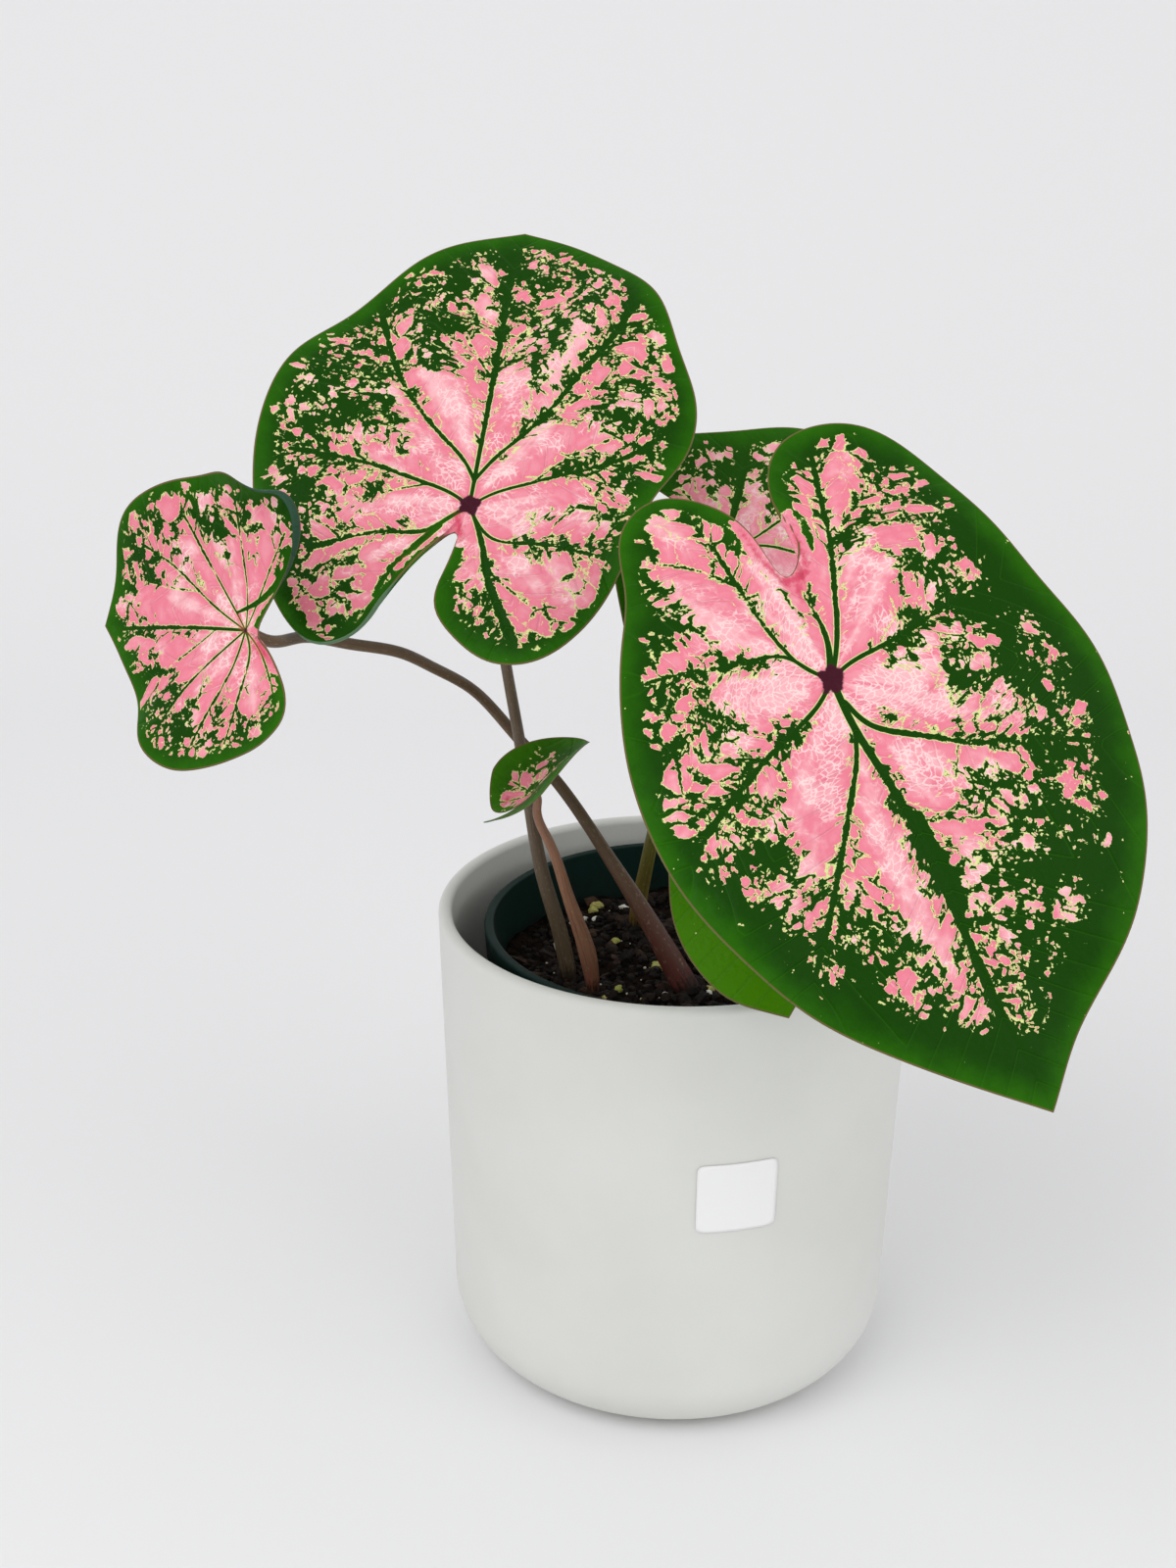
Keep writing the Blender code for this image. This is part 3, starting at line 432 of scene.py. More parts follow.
def arc(s, k):
    """Length s laid along an arc of curvature k: how far along it ends, how high, and its angle."""
    a = k * s
    return s * np.sinc(a / np.pi), s * (a / 2) * np.sinc(a / 2 / np.pi)**2, a


def turn_of(points):
    """Angle of flat points from the tip, positive to the right."""
    return np.degrees(np.arctan2(points[..., 0], points[..., 1]))


def rim_of(leaf):
    """The blade's flat outline as closely spaced points, each with its share of the rim's length."""
    turn, reach = np.array(leaf["outline"], float).T
    corners = np.stack([reach * np.sin(np.radians(turn)), reach * np.cos(np.radians(turn))], -1)
    rim = spline(np.vstack([corners, corners[:1]]), np.linspace(0, 1, RIM_POINTS))
    run = np.concatenate([[0.0], np.cumsum(np.hypot(*np.diff(rim, axis=0).T))])
    return rim, run / run[-1]


def share_at(rim, run, turn):
    """Share of the rim's length at which it passes an angle from the tip."""
    return run[np.argmin(np.abs((turn_of(rim) - turn + 180) % 360 - 180))]


def spokes_of(leaf, rim, run):
    """Where each spoke meets the rim, and the angle at which it leaves the joint.

    A spoke lies on every vein.  Those between crowd towards the veins, as a half cosine does.
    """
    notch = share_at(rim, run, leaf["notch"])
    tip = [end for end, _ in leaf["veins"]].index(None)
    ends = [notch - 1.0]
    starts = [leaf["notch"] if leaf["notch"] < 0 else leaf["notch"] - 360]
    for i, (end, start) in enumerate(leaf["veins"]):
        ends.append(0.0 if end is None else share_at(rim, run, end) - (i < tip))
        starts.append(start)
    ends.append(notch)
    starts.append(starts[0] + 360)
    at, leave = [], []
    for k in range(len(ends) - 1):
        number = 2 * max(4, round(leaf["spokes"] * (ends[k + 1] - ends[k]) / 2))
        part = (1 - np.cos(np.pi * np.arange(number) / number)) / 2
        at.append(ends[k] + part * (ends[k + 1] - ends[k]))
        leave.append(starts[k] + part * (starts[k + 1] - starts[k]))
    return np.concatenate(at), np.radians(np.concatenate(leave))


def bezier(share, knee, end):
    """Quadratic Bezier curve from the joint by way of a knee to an end, at shares of its run."""
    share = share[..., None]
    return 2 * share * (1 - share) * knee + share**2 * end


def flat_blade(leaf, shares):
    """Points of the flat blade by row and spoke, the same curled, their heights, and the reaches.

    A spoke is a quadratic Bezier curve from the joint, along its leaving angle to its knee, and on
    to the rim.  A wave is a sine round the rim that dies away with the cube of the share of the
    reach.  A curl wraps the outer few millimetres of the spokes onto an arc.
    """
    rim, run = rim_of(leaf)
    at, leave = spokes_of(leaf, rim, run)
    end = np.stack([np.interp(at % 1.0, run, rim[:, i]) for i in range(2)], -1)
    reach = np.hypot(*end.T)
    knee = KNEE * reach[:, None] * np.stack([np.sin(leave), np.cos(leave)], -1)
    share = np.repeat(shares[:, None], len(at), axis=1)
    flat = bezier(share, knee, end)
    height = np.zeros_like(share)
    for size, number, phase in leaf.get("waves", []):
        height += size * share**3 * np.sin(2 * np.pi * number * at + np.radians(phase))
    for middle, half, depth, roll in leaf.get("curls", []):
        away = np.abs((at - share_at(rim, run, middle) + 0.5) % 1 - 0.5) / half
        strength = np.cos(np.clip(away, 0, 1) * np.pi / 2)**2
        over = np.clip(depth - (1 - share) * reach, 0, None)
        along, up, _ = arc(over, np.radians(roll) * strength / depth)
        share = share + (along - over) / reach
        height += up
    return flat, bezier(share, knee, end), height, reach


def directions(leaf):
    """Unit vectors of the blade at its joint: to its right, along its midrib, and off its face."""
    heading, dip, roll = np.radians([leaf["heading"], leaf["dip"], leaf["roll"]])
    midrib = np.array([np.sin(heading) * np.cos(dip), np.cos(heading) * np.cos(dip), -np.sin(dip)])
    level = np.array([np.cos(heading), -np.sin(heading), 0.0])
    side = np.cos(roll) * level - np.sin(roll) * np.cross(level, midrib)
    return np.stack([side, midrib, np.cross(side, midrib)])


def place_blade(leaf, flat, height):
    """Bend the flat blade about and along its midrib and stand it at its joint."""
    u, v = flat[..., 0], flat[..., 1]
    height = height + np.tan(np.radians(leaf["vee"])) * (np.sqrt(u * u + FOLD_ROUND**2) - FOLD_ROUND)
    across = -np.radians(np.where(u > 0, leaf["right"], leaf["left"])) / BEND_RUN
    along = -np.radians(np.where(v > 0, leaf["tip"], leaf["back"])) / BEND_RUN
    side, rise, _ = arc(u, across)
    height = height + rise
    ahead, rise, a = arc(v, along)
    bent = np.stack([side, ahead - height * np.sin(a), rise + height * np.cos(a)], -1)
    return bent @ directions(leaf) + np.array(leaf["joint"])


def gap_to(points, line):
    """Distance of each flat point from a line of points, measured to its straight pieces."""
    start, step = line[:-1], np.diff(line, axis=0)
    away = points[..., None, :] - start
    part = np.clip((away * step).sum(-1) / ((step**2).sum(-1) + 1e-12), 0, 1)
    return np.linalg.norm(away - part[..., None] * step, axis=-1).min(-1)


def wrap(values):
    """A grid of values with its first column again at the end."""
    return np.concatenate([values, values[:, :1]], axis=1)


def face_directions(points):
    """Unit normals of a grid of rings, from the cross product of its two directions."""
    along = np.gradient(points, axis=0)
    ring = np.concatenate([points[:, -1:], points, points[:, :1]], axis=1)
    round_ = np.gradient(ring, axis=1)[:, 1:-1]
    normal = np.cross(round_, along)
    normal[0] = normal[1].mean(0)
    return normal / np.linalg.norm(normal, axis=-1, keepdims=True)


def strokes_of(lines):
    """Strokes (u, v, half width, u, v, half width) between the neighbouring points of some lines."""
    lines = [np.reshape(line, (-1, 3)) for line in lines]
    return np.vstack([np.hstack([line[:-1], line[1:]]) for line in lines]).astype(float)


def painted(flat, strokes):
    """Inside a set of round-ended strokes: each one's half width less the distance from it."""
    start, end = strokes[:, :2], strokes[:, 3:5]
    away = flat[..., None, :] - start
    step = end - start
    part = np.clip((away * step).sum(-1) / (step**2).sum(-1), 0, 1)
    width = strokes[:, 2] + part * (strokes[:, 5] - strokes[:, 2])
    return (width - np.linalg.norm(away - part[..., None] * step, axis=-1)).max(-1)


def rib_strokes(leaf):
    """The blade's ribs, each a smooth curve through its points, as short strokes end to end."""
    lines = []
    for first, last, *numbers in leaf["ribs"]:
        points = np.reshape(numbers, (-1, 2))
        at = np.linspace(0, 1, 6 * len(points))
        lines.append(np.column_stack([spline(points, at), first + (last - first) * at]))
    return strokes_of(lines)


def blade_rings(leaf, drawn, height, share, vein, size):
    """Rings of a blade's skin: its upper face, a rounded rim and its underside with the ribs on it.

    The upper face sinks a little along each vein and swells between them.  The underside is the
    upper face moved back by the blade's thickness and by a bell-shaped rib along each vein.  vein is
    each point's distance from the nearest vein, and size is the blade's longest reach.
    """
    rib = size * RIB_HEIGHT * (1 - share)**0.8
    width = RIB_LEAST + size * RIB_WIDTH * (1 - share)
    sunk = 0.3 * rib * np.exp(-(vein / (0.8 * width))**2)
    swell = SWELL * size * np.minimum(vein / (0.12 * size), 1) * np.sin(np.pi * share**0.8)
    upper = place_blade(leaf, drawn, height - sunk + swell)
    face = directions(leaf)[2]
    off = face_directions(upper)
    if (off[0] @ face).mean() < 0:
        off = -off
    steady = np.clip(share / 0.12, 0, 1)[..., None]
    off = steady * off + (1 - steady) * face
    thick = BLADE_SKIN * (1 - 0.5 * share**6) + rib * np.exp(-(vein / width)**2)
    lower = upper - off * thick[..., None]
    out = upper[-1] - upper[-2]
    edge = (upper[-1] + lower[-1]) / 2 + RIM_OUT * out / np.linalg.norm(out, axis=-1, keepdims=True)
    return np.concatenate([upper, edge[None], lower[::-1]])


def make_blade(name, leaf, material):
    """One leaf blade, with the marks that its finish reads: its flat place, veins and strokes."""
    shares = 1 - (1 - np.linspace(0, 1, leaf["rows"] + 1))**1.25
    flat, drawn, height, reach = flat_blade(leaf, shares)
    share = np.repeat(shares[:, None], flat.shape[1], axis=1)
    strokes = rib_strokes(leaf)
    green = -painted(flat, strokes)
    vein = -painted(flat, strokes * np.array([1, 1, 0, 1, 1, 0]))
    points = blade_rings(leaf, drawn, height, share, vein, reach.max())
    sideways = share * reach - SIDE_SLANT * vein
    rim_gap = gap_to(flat, rim_of(leaf)[0][::10])
    heart = leaf["heart"] - 1.1 * np.hypot(flat[..., 0], flat[..., 1])
    paint = np.clip(np.maximum(painted(flat, strokes_of(leaf["blots"])), heart), *PAINT_RANGE)
    blush = np.clip(painted(flat, strokes_of(leaf["blush"])), *BLUSH_RANGE)
    marks = {
        "place": both_faces(np.stack([flat[..., 0], flat[..., 1], 0 * share], -1), 1.0),
        "lines": both_faces(np.stack([green, sideways, rim_gap], -1)),
        "paint": both_faces(np.stack([paint, share, blush], -1)),
        "OFBake": bake_layout(wrap(flat)),
    }
    return skin(name, points, material, marks)


def both_faces(values, under=0.0):
    """Marks of the upper face, and again for the rim and underside with its own third value."""
    values = wrap(values)
    lower = values[::-1] + np.array([0.0, 0.0, under])
    return np.concatenate([values, lower[:1], lower])


def bake_layout(flat):
    """Both faces side by side on one square map: the upper face large and the underside small."""
    low, high = flat.min((0, 1)), flat.max((0, 1))
    wide, long_ = high - low
    spread = (flat - low)[..., ::-1]
    scale = 0.98 / max(long_, wide / 0.72)
    small = 0.24 / wide
    top = 0.01 + spread * scale
    under = spread * min(small, 0.98 / long_) + np.array([0.01, 0.02 + wide * scale])
    return np.concatenate([top, under[-1:], under[::-1]])


def stalk_line(name):
    """Points and radii of a stalk, from its end in the soil to just under its leaf."""
    stalk, leaf = STALKS[name], LEAVES[name]
    points = np.array(stalk["points"], float)
    down = points[0] - points[1]
    foot = points[0] + down / np.linalg.norm(down) * STALK_DEPTH
    off_face = directions(leaf)[2]
    top = np.array(leaf["joint"]) - off_face * (BLADE_SKIN + stalk["sunk"])
    points = np.vstack([foot, points, top - off_face * stalk["neck"], top])
    radii = np.array([stalk["radii"][0], *stalk["radii"], stalk["radii"][-1]])
    steps = np.linalg.norm(np.diff(points, axis=0), axis=1)
    knots = np.concatenate([[0.0], np.cumsum(steps)]) / steps.sum()
    at = np.linspace(0, 1, STALK_RINGS)
    return spline(points, at), np.interp(at, knots, radii)


def make_stalk(name, material):
    """A round stalk swept along its line, with its radius eased from point to point."""
    line, radii = stalk_line(name)
    spread = 7
    kernel = np.hanning(2 * spread + 1) / np.hanning(2 * spread + 1).sum()
    radii = np.convolve(np.pad(radii, spread, mode="edge"), kernel, mode="valid")
    along = np.gradient(line, axis=0)
    along /= np.linalg.norm(along, axis=1, keepdims=True)
    flat_way = np.linalg.svd(line - line.mean(0), full_matrices=False)[2][-1]
    side = np.cross(along, flat_way)
    side /= np.linalg.norm(side, axis=1, keepdims=True)
    other = np.cross(along, side)
    turn = np.linspace(0, 2 * np.pi, STALK_COLUMNS, endpoint=False)[None, :, None]
    ring = np.cos(turn) * side[:, None] + np.sin(turn) * other[:, None]
    points = line[:, None] + ring * radii[:, None, None]
    foot, top = (np.repeat(end[:, None], STALK_COLUMNS, 1) for end in (line[:1], line[-1:]))
    points = np.concatenate([foot, points, top])
    share = np.linspace(0, 1, len(points))[:, None] * np.ones(STALK_COLUMNS + 1)
    rise = np.linalg.norm(np.diff(line, axis=0), axis=1).sum() * share
    turns = np.linspace(0, 1, STALK_COLUMNS + 1) * np.ones_like(share)
    return skin("stalk_" + name, points, material, {"along": np.stack([rise, share, turns], -1)})


def turned(profile, columns, middle=(0.0, 0.0)):
    """Rings of a profile of (radius, height) turned about an upright line."""
    turn = np.linspace(0, 2 * np.pi, columns, endpoint=False)
    r, z = np.asarray(profile, float).T
    return np.stack([middle[0] + r[:, None] * np.cos(turn), middle[1] + r[:, None] * np.sin(turn),
                     z[:, None] + 0 * turn], -1)


def round_corner(middle, radius, start, stop, steps):
    """Points of a circular arc in the profile plane, from one angle to another."""
    turn = np.radians(np.linspace(start, stop, steps + 1))
    return [(middle[0] + radius * np.cos(a), middle[1] + radius * np.sin(a)) for a in turn]


def wall_radius(z):
    """Outer radius of the cover pot's wall at a height above its rounded foot."""
    low, high = POT_FOOT_ROUND, POT_HEIGHT - POT_WALL / 2
    return POT_LOW_RADIUS + (POT_TOP_RADIUS - POT_LOW_RADIUS) * (z - low) / (high - low)


def nursery_radius(z):
    """Outer radius of the nursery pot's tapered wall."""
    low, high = POT_FLOOR + GAP, NURSERY_TOP
    top = NURSERY_RIM_RADIUS - NURSERY_BAND_STEP
    return NURSERY_BASE_RADIUS + (top - NURSERY_BASE_RADIUS) * (z - low) / (high - low)


def make_cover_pot(material):
    """Foot, tapered wall and round lip outside, and the wall and floor inside, turned round."""
    lip = POT_WALL / 2
    inner_low = POT_FLOOR + POT_INNER_ROUND
    inner = wall_radius(inner_low) - POT_WALL
    foot = POT_LOW_RADIUS - POT_FOOT_ROUND
    low, high = POT_FOOT_ROUND, POT_HEIGHT - lip
    wall = [(wall_radius(z), z) for z in np.linspace(low, high, 12)[1:-1]]
    drop = [(wall_radius(z) - POT_WALL, z) for z in np.linspace(high, inner_low, 12)[1:-1]]
    profile = [(0, 0), (foot * 0.5, 0), (foot - 0.5, 0)]
    profile += round_corner((foot, POT_FOOT_ROUND), POT_FOOT_ROUND, -90, 0, 20) + wall
    profile += round_corner((POT_TOP_RADIUS - lip, high), lip, 0, 180, 14) + drop
    profile += round_corner((inner - POT_INNER_ROUND, inner_low), POT_INNER_ROUND, 0, -90, 12)
    profile += [(20, POT_FLOOR), (0, POT_FLOOR)]
    return skin("cover_pot_glazed", turned(profile, 192), material)


def make_nursery_pot(material):
    """Thin tapered wall with a thicker band round the rim, turned round."""
    low = POT_FLOOR + GAP
    band = NURSERY_TOP - NURSERY_BAND
    floor = low + NURSERY_WALL
    inner = nursery_radius(NURSERY_TOP) - NURSERY_WALL
    profile = [(0, low), (20, low), (NURSERY_BASE_RADIUS - 2, low),
               (nursery_radius(low + 2), low + 2), (nursery_radius(band), band),
               (NURSERY_RIM_RADIUS - 0.5, band + 0.2), (NURSERY_RIM_RADIUS, NURSERY_TOP - 0.9)]
    profile += round_corner((NURSERY_RIM_RADIUS - 0.8, NURSERY_TOP - 0.8), 0.8, 0, 90, 5)
    profile += round_corner((inner + 0.5, NURSERY_TOP - 0.5), 0.5, 90, 180, 4)
    profile += [(nursery_radius(floor + 2) - NURSERY_WALL, floor + 2),
                (nursery_radius(floor) - NURSERY_WALL - 2, floor), (20, floor), (0, floor)]
    return skin("nursery_pot_moulded", turned(profile, 160, NURSERY_MIDDLE), material)


def rolling(x, y, wavelength, seed, layers=14):
    """Random relief of about -1 to 1: the sum of sine waves in directions drawn by the seed."""
    draw = np.random.default_rng(seed)
    turn, phase = draw.uniform(0, 2 * np.pi, (2, layers))
    number = 2 * np.pi / (wavelength * draw.uniform(0.7, 1.5, layers))
    wave = x[..., None] * np.cos(turn) * number + y[..., None] * np.sin(turn) * number
    return np.sin(wave + phase).sum(-1) / np.sqrt(layers)


def stalk_feet():
    """Where the stalks leave the soil, seen from above."""
    return np.array([stalk["points"][0][:2] for stalk in STALKS.values()])


def soil_height(x, y):
    """Height of the soil's surface: a slight crown, rough at three scales, heaped at each stalk.

    A heap of height h and spread s is h exp(-(d / s)^2) high at d mm from a stalk's foot.
    """
    away = np.hypot(x - NURSERY_MIDDLE[0], y - NURSERY_MIDDLE[1])
    rough = 0.8 * rolling(x, y, 22, 1) + 0.5 * rolling(x, y, 8, 2) + 0.35 * rolling(x, y, 3.2, 3)
    feet = stalk_feet()
    gap = np.hypot(x[..., None] - feet[:, 0], y[..., None] - feet[:, 1])
    heap = HEAP_HEIGHT * np.exp(-(gap / HEAP_SPREAD)**2).sum(-1)
    return SOIL_TOP - GAP - 1.2 * (away / 55)**3 + rough + heap


def make_soil(material):
    """The soil in the nursery pot: its rough surface, its side and its flat underside."""
    side = SOIL_TOP - 2.0
    inset = NURSERY_WALL + GAP
    low = POT_FLOOR + GAP + NURSERY_WALL + GAP
    radii = np.linspace(0, nursery_radius(side) - inset, 70)
    top = turned([(r, 0) for r in radii], 220, NURSERY_MIDDLE)
    top[..., 2] = soil_height(top[..., 0], top[..., 1])
    down = turned([(nursery_radius(low + 2.2) - inset, low + 2.2),
                   (nursery_radius(low) - inset - 2.2, low), (0, low)], 220, NURSERY_MIDDLE)
    return skin("soil_loose", np.concatenate([top, down]), material)


def srgb(red, green, blue):
    """A screen colour, 0 to 255 a channel, as the linear light that shaders work in."""
    channel = np.array([red, green, blue]) / 255
    light = np.where(channel <= 0.04045, channel / 12.92, ((channel + 0.055) / 1.055)**2.4)
    return (*(float(c) for c in light), 1.0)


class Wire:
    """A shader output that arithmetic joins to further Math nodes."""

    def __init__(self, output):
        self.output = output
        self.tree = output.id_data

    def math(self, operation, *others):
        """A Math node with this wire as its first input."""
        node = self.tree.nodes.new("ShaderNodeMath")
        node.operation = operation
        for target, value in zip(node.inputs, (self, *others)):
            join(target, value)
        return Wire(node.outputs[0])

    def __add__(self, other):
        return self.math("ADD", other)

    def __sub__(self, other):
        return self.math("SUBTRACT", other)

    def __mul__(self, other):
        return self.math("MULTIPLY", other)

    def least(self, other):
        """The smaller of the two values."""
        return self.math("MINIMUM", other)

    def most(self, other):
        """The larger of the two values."""
        return self.math("MAXIMUM", other)

    def rise(self, low, high):
        """0 below low, 1 above high and an eased step between them."""
        node = self.tree.nodes.new("ShaderNodeMapRange")
        node.interpolation_type = "SMOOTHSTEP"
        for target, value in zip(node.inputs, (self, low, high, 0.0, 1.0)):
            join(target, value)
        return Wire(node.outputs["Result"])


def join(target, value):
    """Link a wire to a socket, or set the socket to a plain value."""
    if isinstance(value, Wire):
        value.tree.links.new(value.output, target)
    else:
        target.default_value = value


def mark(tree, name):
    """The three numbers of a mesh attribute, as wires."""
    node = tree.nodes.new("ShaderNodeAttribute")
    node.attribute_name = name
    return parts(Wire(node.outputs["Vector"]))


def parts(at):
    """The three numbers of a vector, as wires."""
    node = at.tree.nodes.new("ShaderNodeSeparateXYZ")
    join(node.inputs[0], at)
    return [Wire(output) for output in node.outputs]


def vector(tree, *numbers):
    """A vector made of three wires or plain numbers."""
    node = tree.nodes.new("ShaderNodeCombineXYZ")
    for target, value in zip(node.inputs, numbers):
        join(target, value)
    return Wire(node.outputs[0])


def unit(at):
    """A vector of the same direction and a length of 1."""
    node = at.tree.nodes.new("ShaderNodeVectorMath")
    node.operation = "NORMALIZE"
    join(node.inputs[0], at)
    return Wire(node.outputs[0])


def noise(at, scale, detail=2.0, rough=0.5):
    """Soft random value about 0, from about -0.3 to 0.3."""
    node = at.tree.nodes.new("ShaderNodeTexNoise")
    for name, value in (("Vector", at), ("Scale", scale), ("Detail", detail), ("Roughness", rough)):
        join(node.inputs[name], value)
    return Wire(node.outputs["Fac"]) - 0.5


def scattered(at, scale, feature):
    """A node that measures from points scattered through space."""
    node = at.tree.nodes.new("ShaderNodeTexVoronoi")
    node.feature = feature
    join(node.inputs["Vector"], at)
    join(node.inputs["Scale"], scale)
    return node


def cells(at, scale, smooth=0.0):
    """Distance and random value of the nearest of scattered points, eased between them if smooth."""
    node = scattered(at, scale, "SMOOTH_F1" if smooth else "F1")
    if smooth:
        join(node.inputs["Smoothness"], smooth)
    return Wire(node.outputs["Distance"]), parts(Wire(node.outputs["Color"]))[0]


def seams(at, scale):
    """Distance to the nearest seam between the cells of scattered points."""
    return Wire(scattered(at, scale, "DISTANCE_TO_EDGE").outputs["Distance"])


def blend(factor, first, second):
    """The first colour where factor is 0 and the second where it is 1."""
    node = factor.tree.nodes.new("ShaderNodeMix")
    node.data_type = "RGBA"
    for target, value in ((0, factor), (6, first), (7, second)):
        join(node.inputs[target], value)
    return Wire(node.outputs[2])


def new_group(name, inputs, outputs):
    """An empty shader group with named number and colour sockets, and wires of its inputs."""
    tree = bpy.data.node_groups.new(name, "ShaderNodeTree")
    for way, sockets in (("INPUT", inputs), ("OUTPUT", outputs)):
        for label, value in sockets.items():
            kind = "NodeSocketColor" if isinstance(value, tuple) else "NodeSocketFloat"
            socket = tree.interface.new_socket(label, in_out=way, socket_type=kind)
            if way == "INPUT":
                socket.default_value = value
    entry = tree.nodes.new("NodeGroupInput")
    return tree, {label: Wire(entry.outputs[label]) for label in inputs}


def close_group(tree, **values):
    """Join the group's outputs, whose names are written with their first letters small."""
    out = tree.nodes.new("NodeGroupOutput")
    for label, value in values.items():
        join(out.inputs[label.capitalize()], value)


CREAM = srgb(222, 230, 152)
DEEP_PINK = srgb(232, 112, 138)
PALE_PINK = srgb(252, 206, 208)
NET_PINK = srgb(254, 226, 224)
VEIN_PINK = srgb(250, 214, 206)
UNDER_PINK = srgb(196, 148, 150)
CRIMSON = srgb(208, 58, 94)
JOINT_RED = srgb(66, 22, 36)
RIM_BROWN = srgb(112, 92, 56)
LIT_GREEN = srgb(66, 124, 4)


def leaf_wires(tree, given):
    """A blade's marks and the noises over it, by name, for the functions of its finish.

    band is the distance outside the green veins, side the run along them, and rim that to the rim.
    """
    at = SimpleNamespace(tree=tree, seed=given["Seed"])
    at.u, at.v, at.under = mark(tree, "place")
    at.band, at.side, at.rim = mark(tree, "lines")
    at.paint, at.share, at.blush = mark(tree, "paint")
    flat = vector(tree, at.u, at.v, at.seed)
    grain = vector(tree, at.side * 0.42, at.u * 0.13, at.v * 0.13 + at.seed)
    at.stretched = noise(grain, 1.0, 3.0, 0.6)
    at.ragged = noise(flat, 0.28, 3.0, 0.65)
    at.fine = noise(flat, 0.9, 2.0, 0.7)
    at.mottle = noise(flat, 0.11, 3.0, 0.6)
    at.side_vein = (at.side * SIDE_VEINS).math("PINGPONG", 0.5)
    return at


def marking_field(at, given):
    """How many millimetres a point of the blade lies inside the pink, less than 0 where it is green.

    The painted strokes, roughened by noise that is stretched along the side veins, are cut by cracks
    that widen outwards, end at a shore along the rim and join with the blush and with scattered
    flecks of three sizes.  The green bands of the veins cut through it all.
    """
    tree, share, margin = at.tree, at.share, given["Margin"]
    block = cells(vector(tree, at.side * 0.42, at.u * 0.24, at.v * 0.24 + at.seed), 1.0, 0.2)[1] - 0.5
    edge = (at.stretched * 5.0 + at.ragged * 3.2 + at.fine * 1.3 + block * 3.0) * given["Ragged"]
    crack = seams(vector(tree, at.side * 0.19 + at.ragged * 0.7, at.u * 0.12 + at.fine * 0.4,
                         at.v * 0.12 + at.seed), 1.0) * 6.0
    width = share.rise(0.35, 0.8) * 0.75 - at.paint.rise(0.5, 3.5) * 0.9
    body = (at.paint + 1.1 + edge).least(crack - width + at.fine * 0.4)
    shore = at.rim - margin * 0.5 + edge * 0.4 + (at.blush + 1.5).rise(0.0, 1.0) * 12.0
    body = body.least(shore).most((at.blush + 1.3 + at.ragged * 3.0 + at.fine) * 1.5)
    near = (at.paint + edge * 0.7).rise(-9.0, 0.0) * at.rim.rise(margin * 0.7, margin * 1.6)
    wavy = vector(tree, at.u + at.ragged * 5.0, at.v + at.stretched * 5.0, at.seed)
    for scale, chance, size in ((0.26, 0.62, 0.4), (0.48, 0.66, 0.42), (0.95, 0.6, 0.38)):
        away, draw = cells(wavy, scale)
        spot = ((near * chance * given["Flecks"] - draw) * 1.6).least(size) - away
        body = body.most(spot * (1.5 / scale))
    rough = at.stretched * 1.5 + at.fine * 1.1 + at.ragged * 1.2
    return body.least(at.band + rough * share.rise(0.05, 0.6) * given["Ragged"])


def pink_of_blade(at, given, field):
    """The pink: deeper near its edge, and paler in rays from the joint, a net and the side veins."""
    tree, share = at.tree, at.share
    ray = parts(unit(vector(tree, at.u, at.v, 0.0)))
    streak = noise(vector(tree, ray[0] * 5.0, ray[1] * 5.0, share * 2.2 + at.seed), 1.0, 3.0, 0.6)
    middle = at.band.rise(0.5, 6.0) * 0.4
    thread = seams(vector(tree, at.side * 0.6 + at.fine * 0.9, at.u * 0.4 + at.ragged,
                          at.v * 0.4 + at.seed), 1.0)
    net = (thread * -1.0).rise(-0.12, -0.01) * (at.mottle * 3.0 - share + 0.35 + middle).rise(0.0, 0.5)
    pale = (streak * 3.4 + at.mottle * 3.0 + 0.25 + middle - share * 0.5).rise(0.0, 1.0)
    colour = blend(field.rise(2.6, 0.3) * 0.6, given["Pink"], DEEP_PINK)
    colour = blend(pale * 0.6, colour, PALE_PINK)
    colour = blend(net * 0.8, colour, NET_PINK)
    veins = at.side_vein.rise(0.035, 0.0) * at.ragged.rise(-0.1, 0.2)
    return blend(veins * 0.5, colour, VEIN_PINK)


def green_of_blade(at, given):
    """The green: fresher near the rim and on the side veins, and lit past a given place."""
    fresh = at.mottle * 0.9 + at.rim * -0.1 + 0.85
    colour = blend(fresh.rise(0.0, 1.4), given["Green"], given["Fresh"])
    colour = blend((at.v - given["Bright"]).rise(0.0, 50.0), colour, LIT_GREEN)
    return blend(at.side_vein.rise(0.035, 0.0) * 0.25, colour, given["Fresh"])


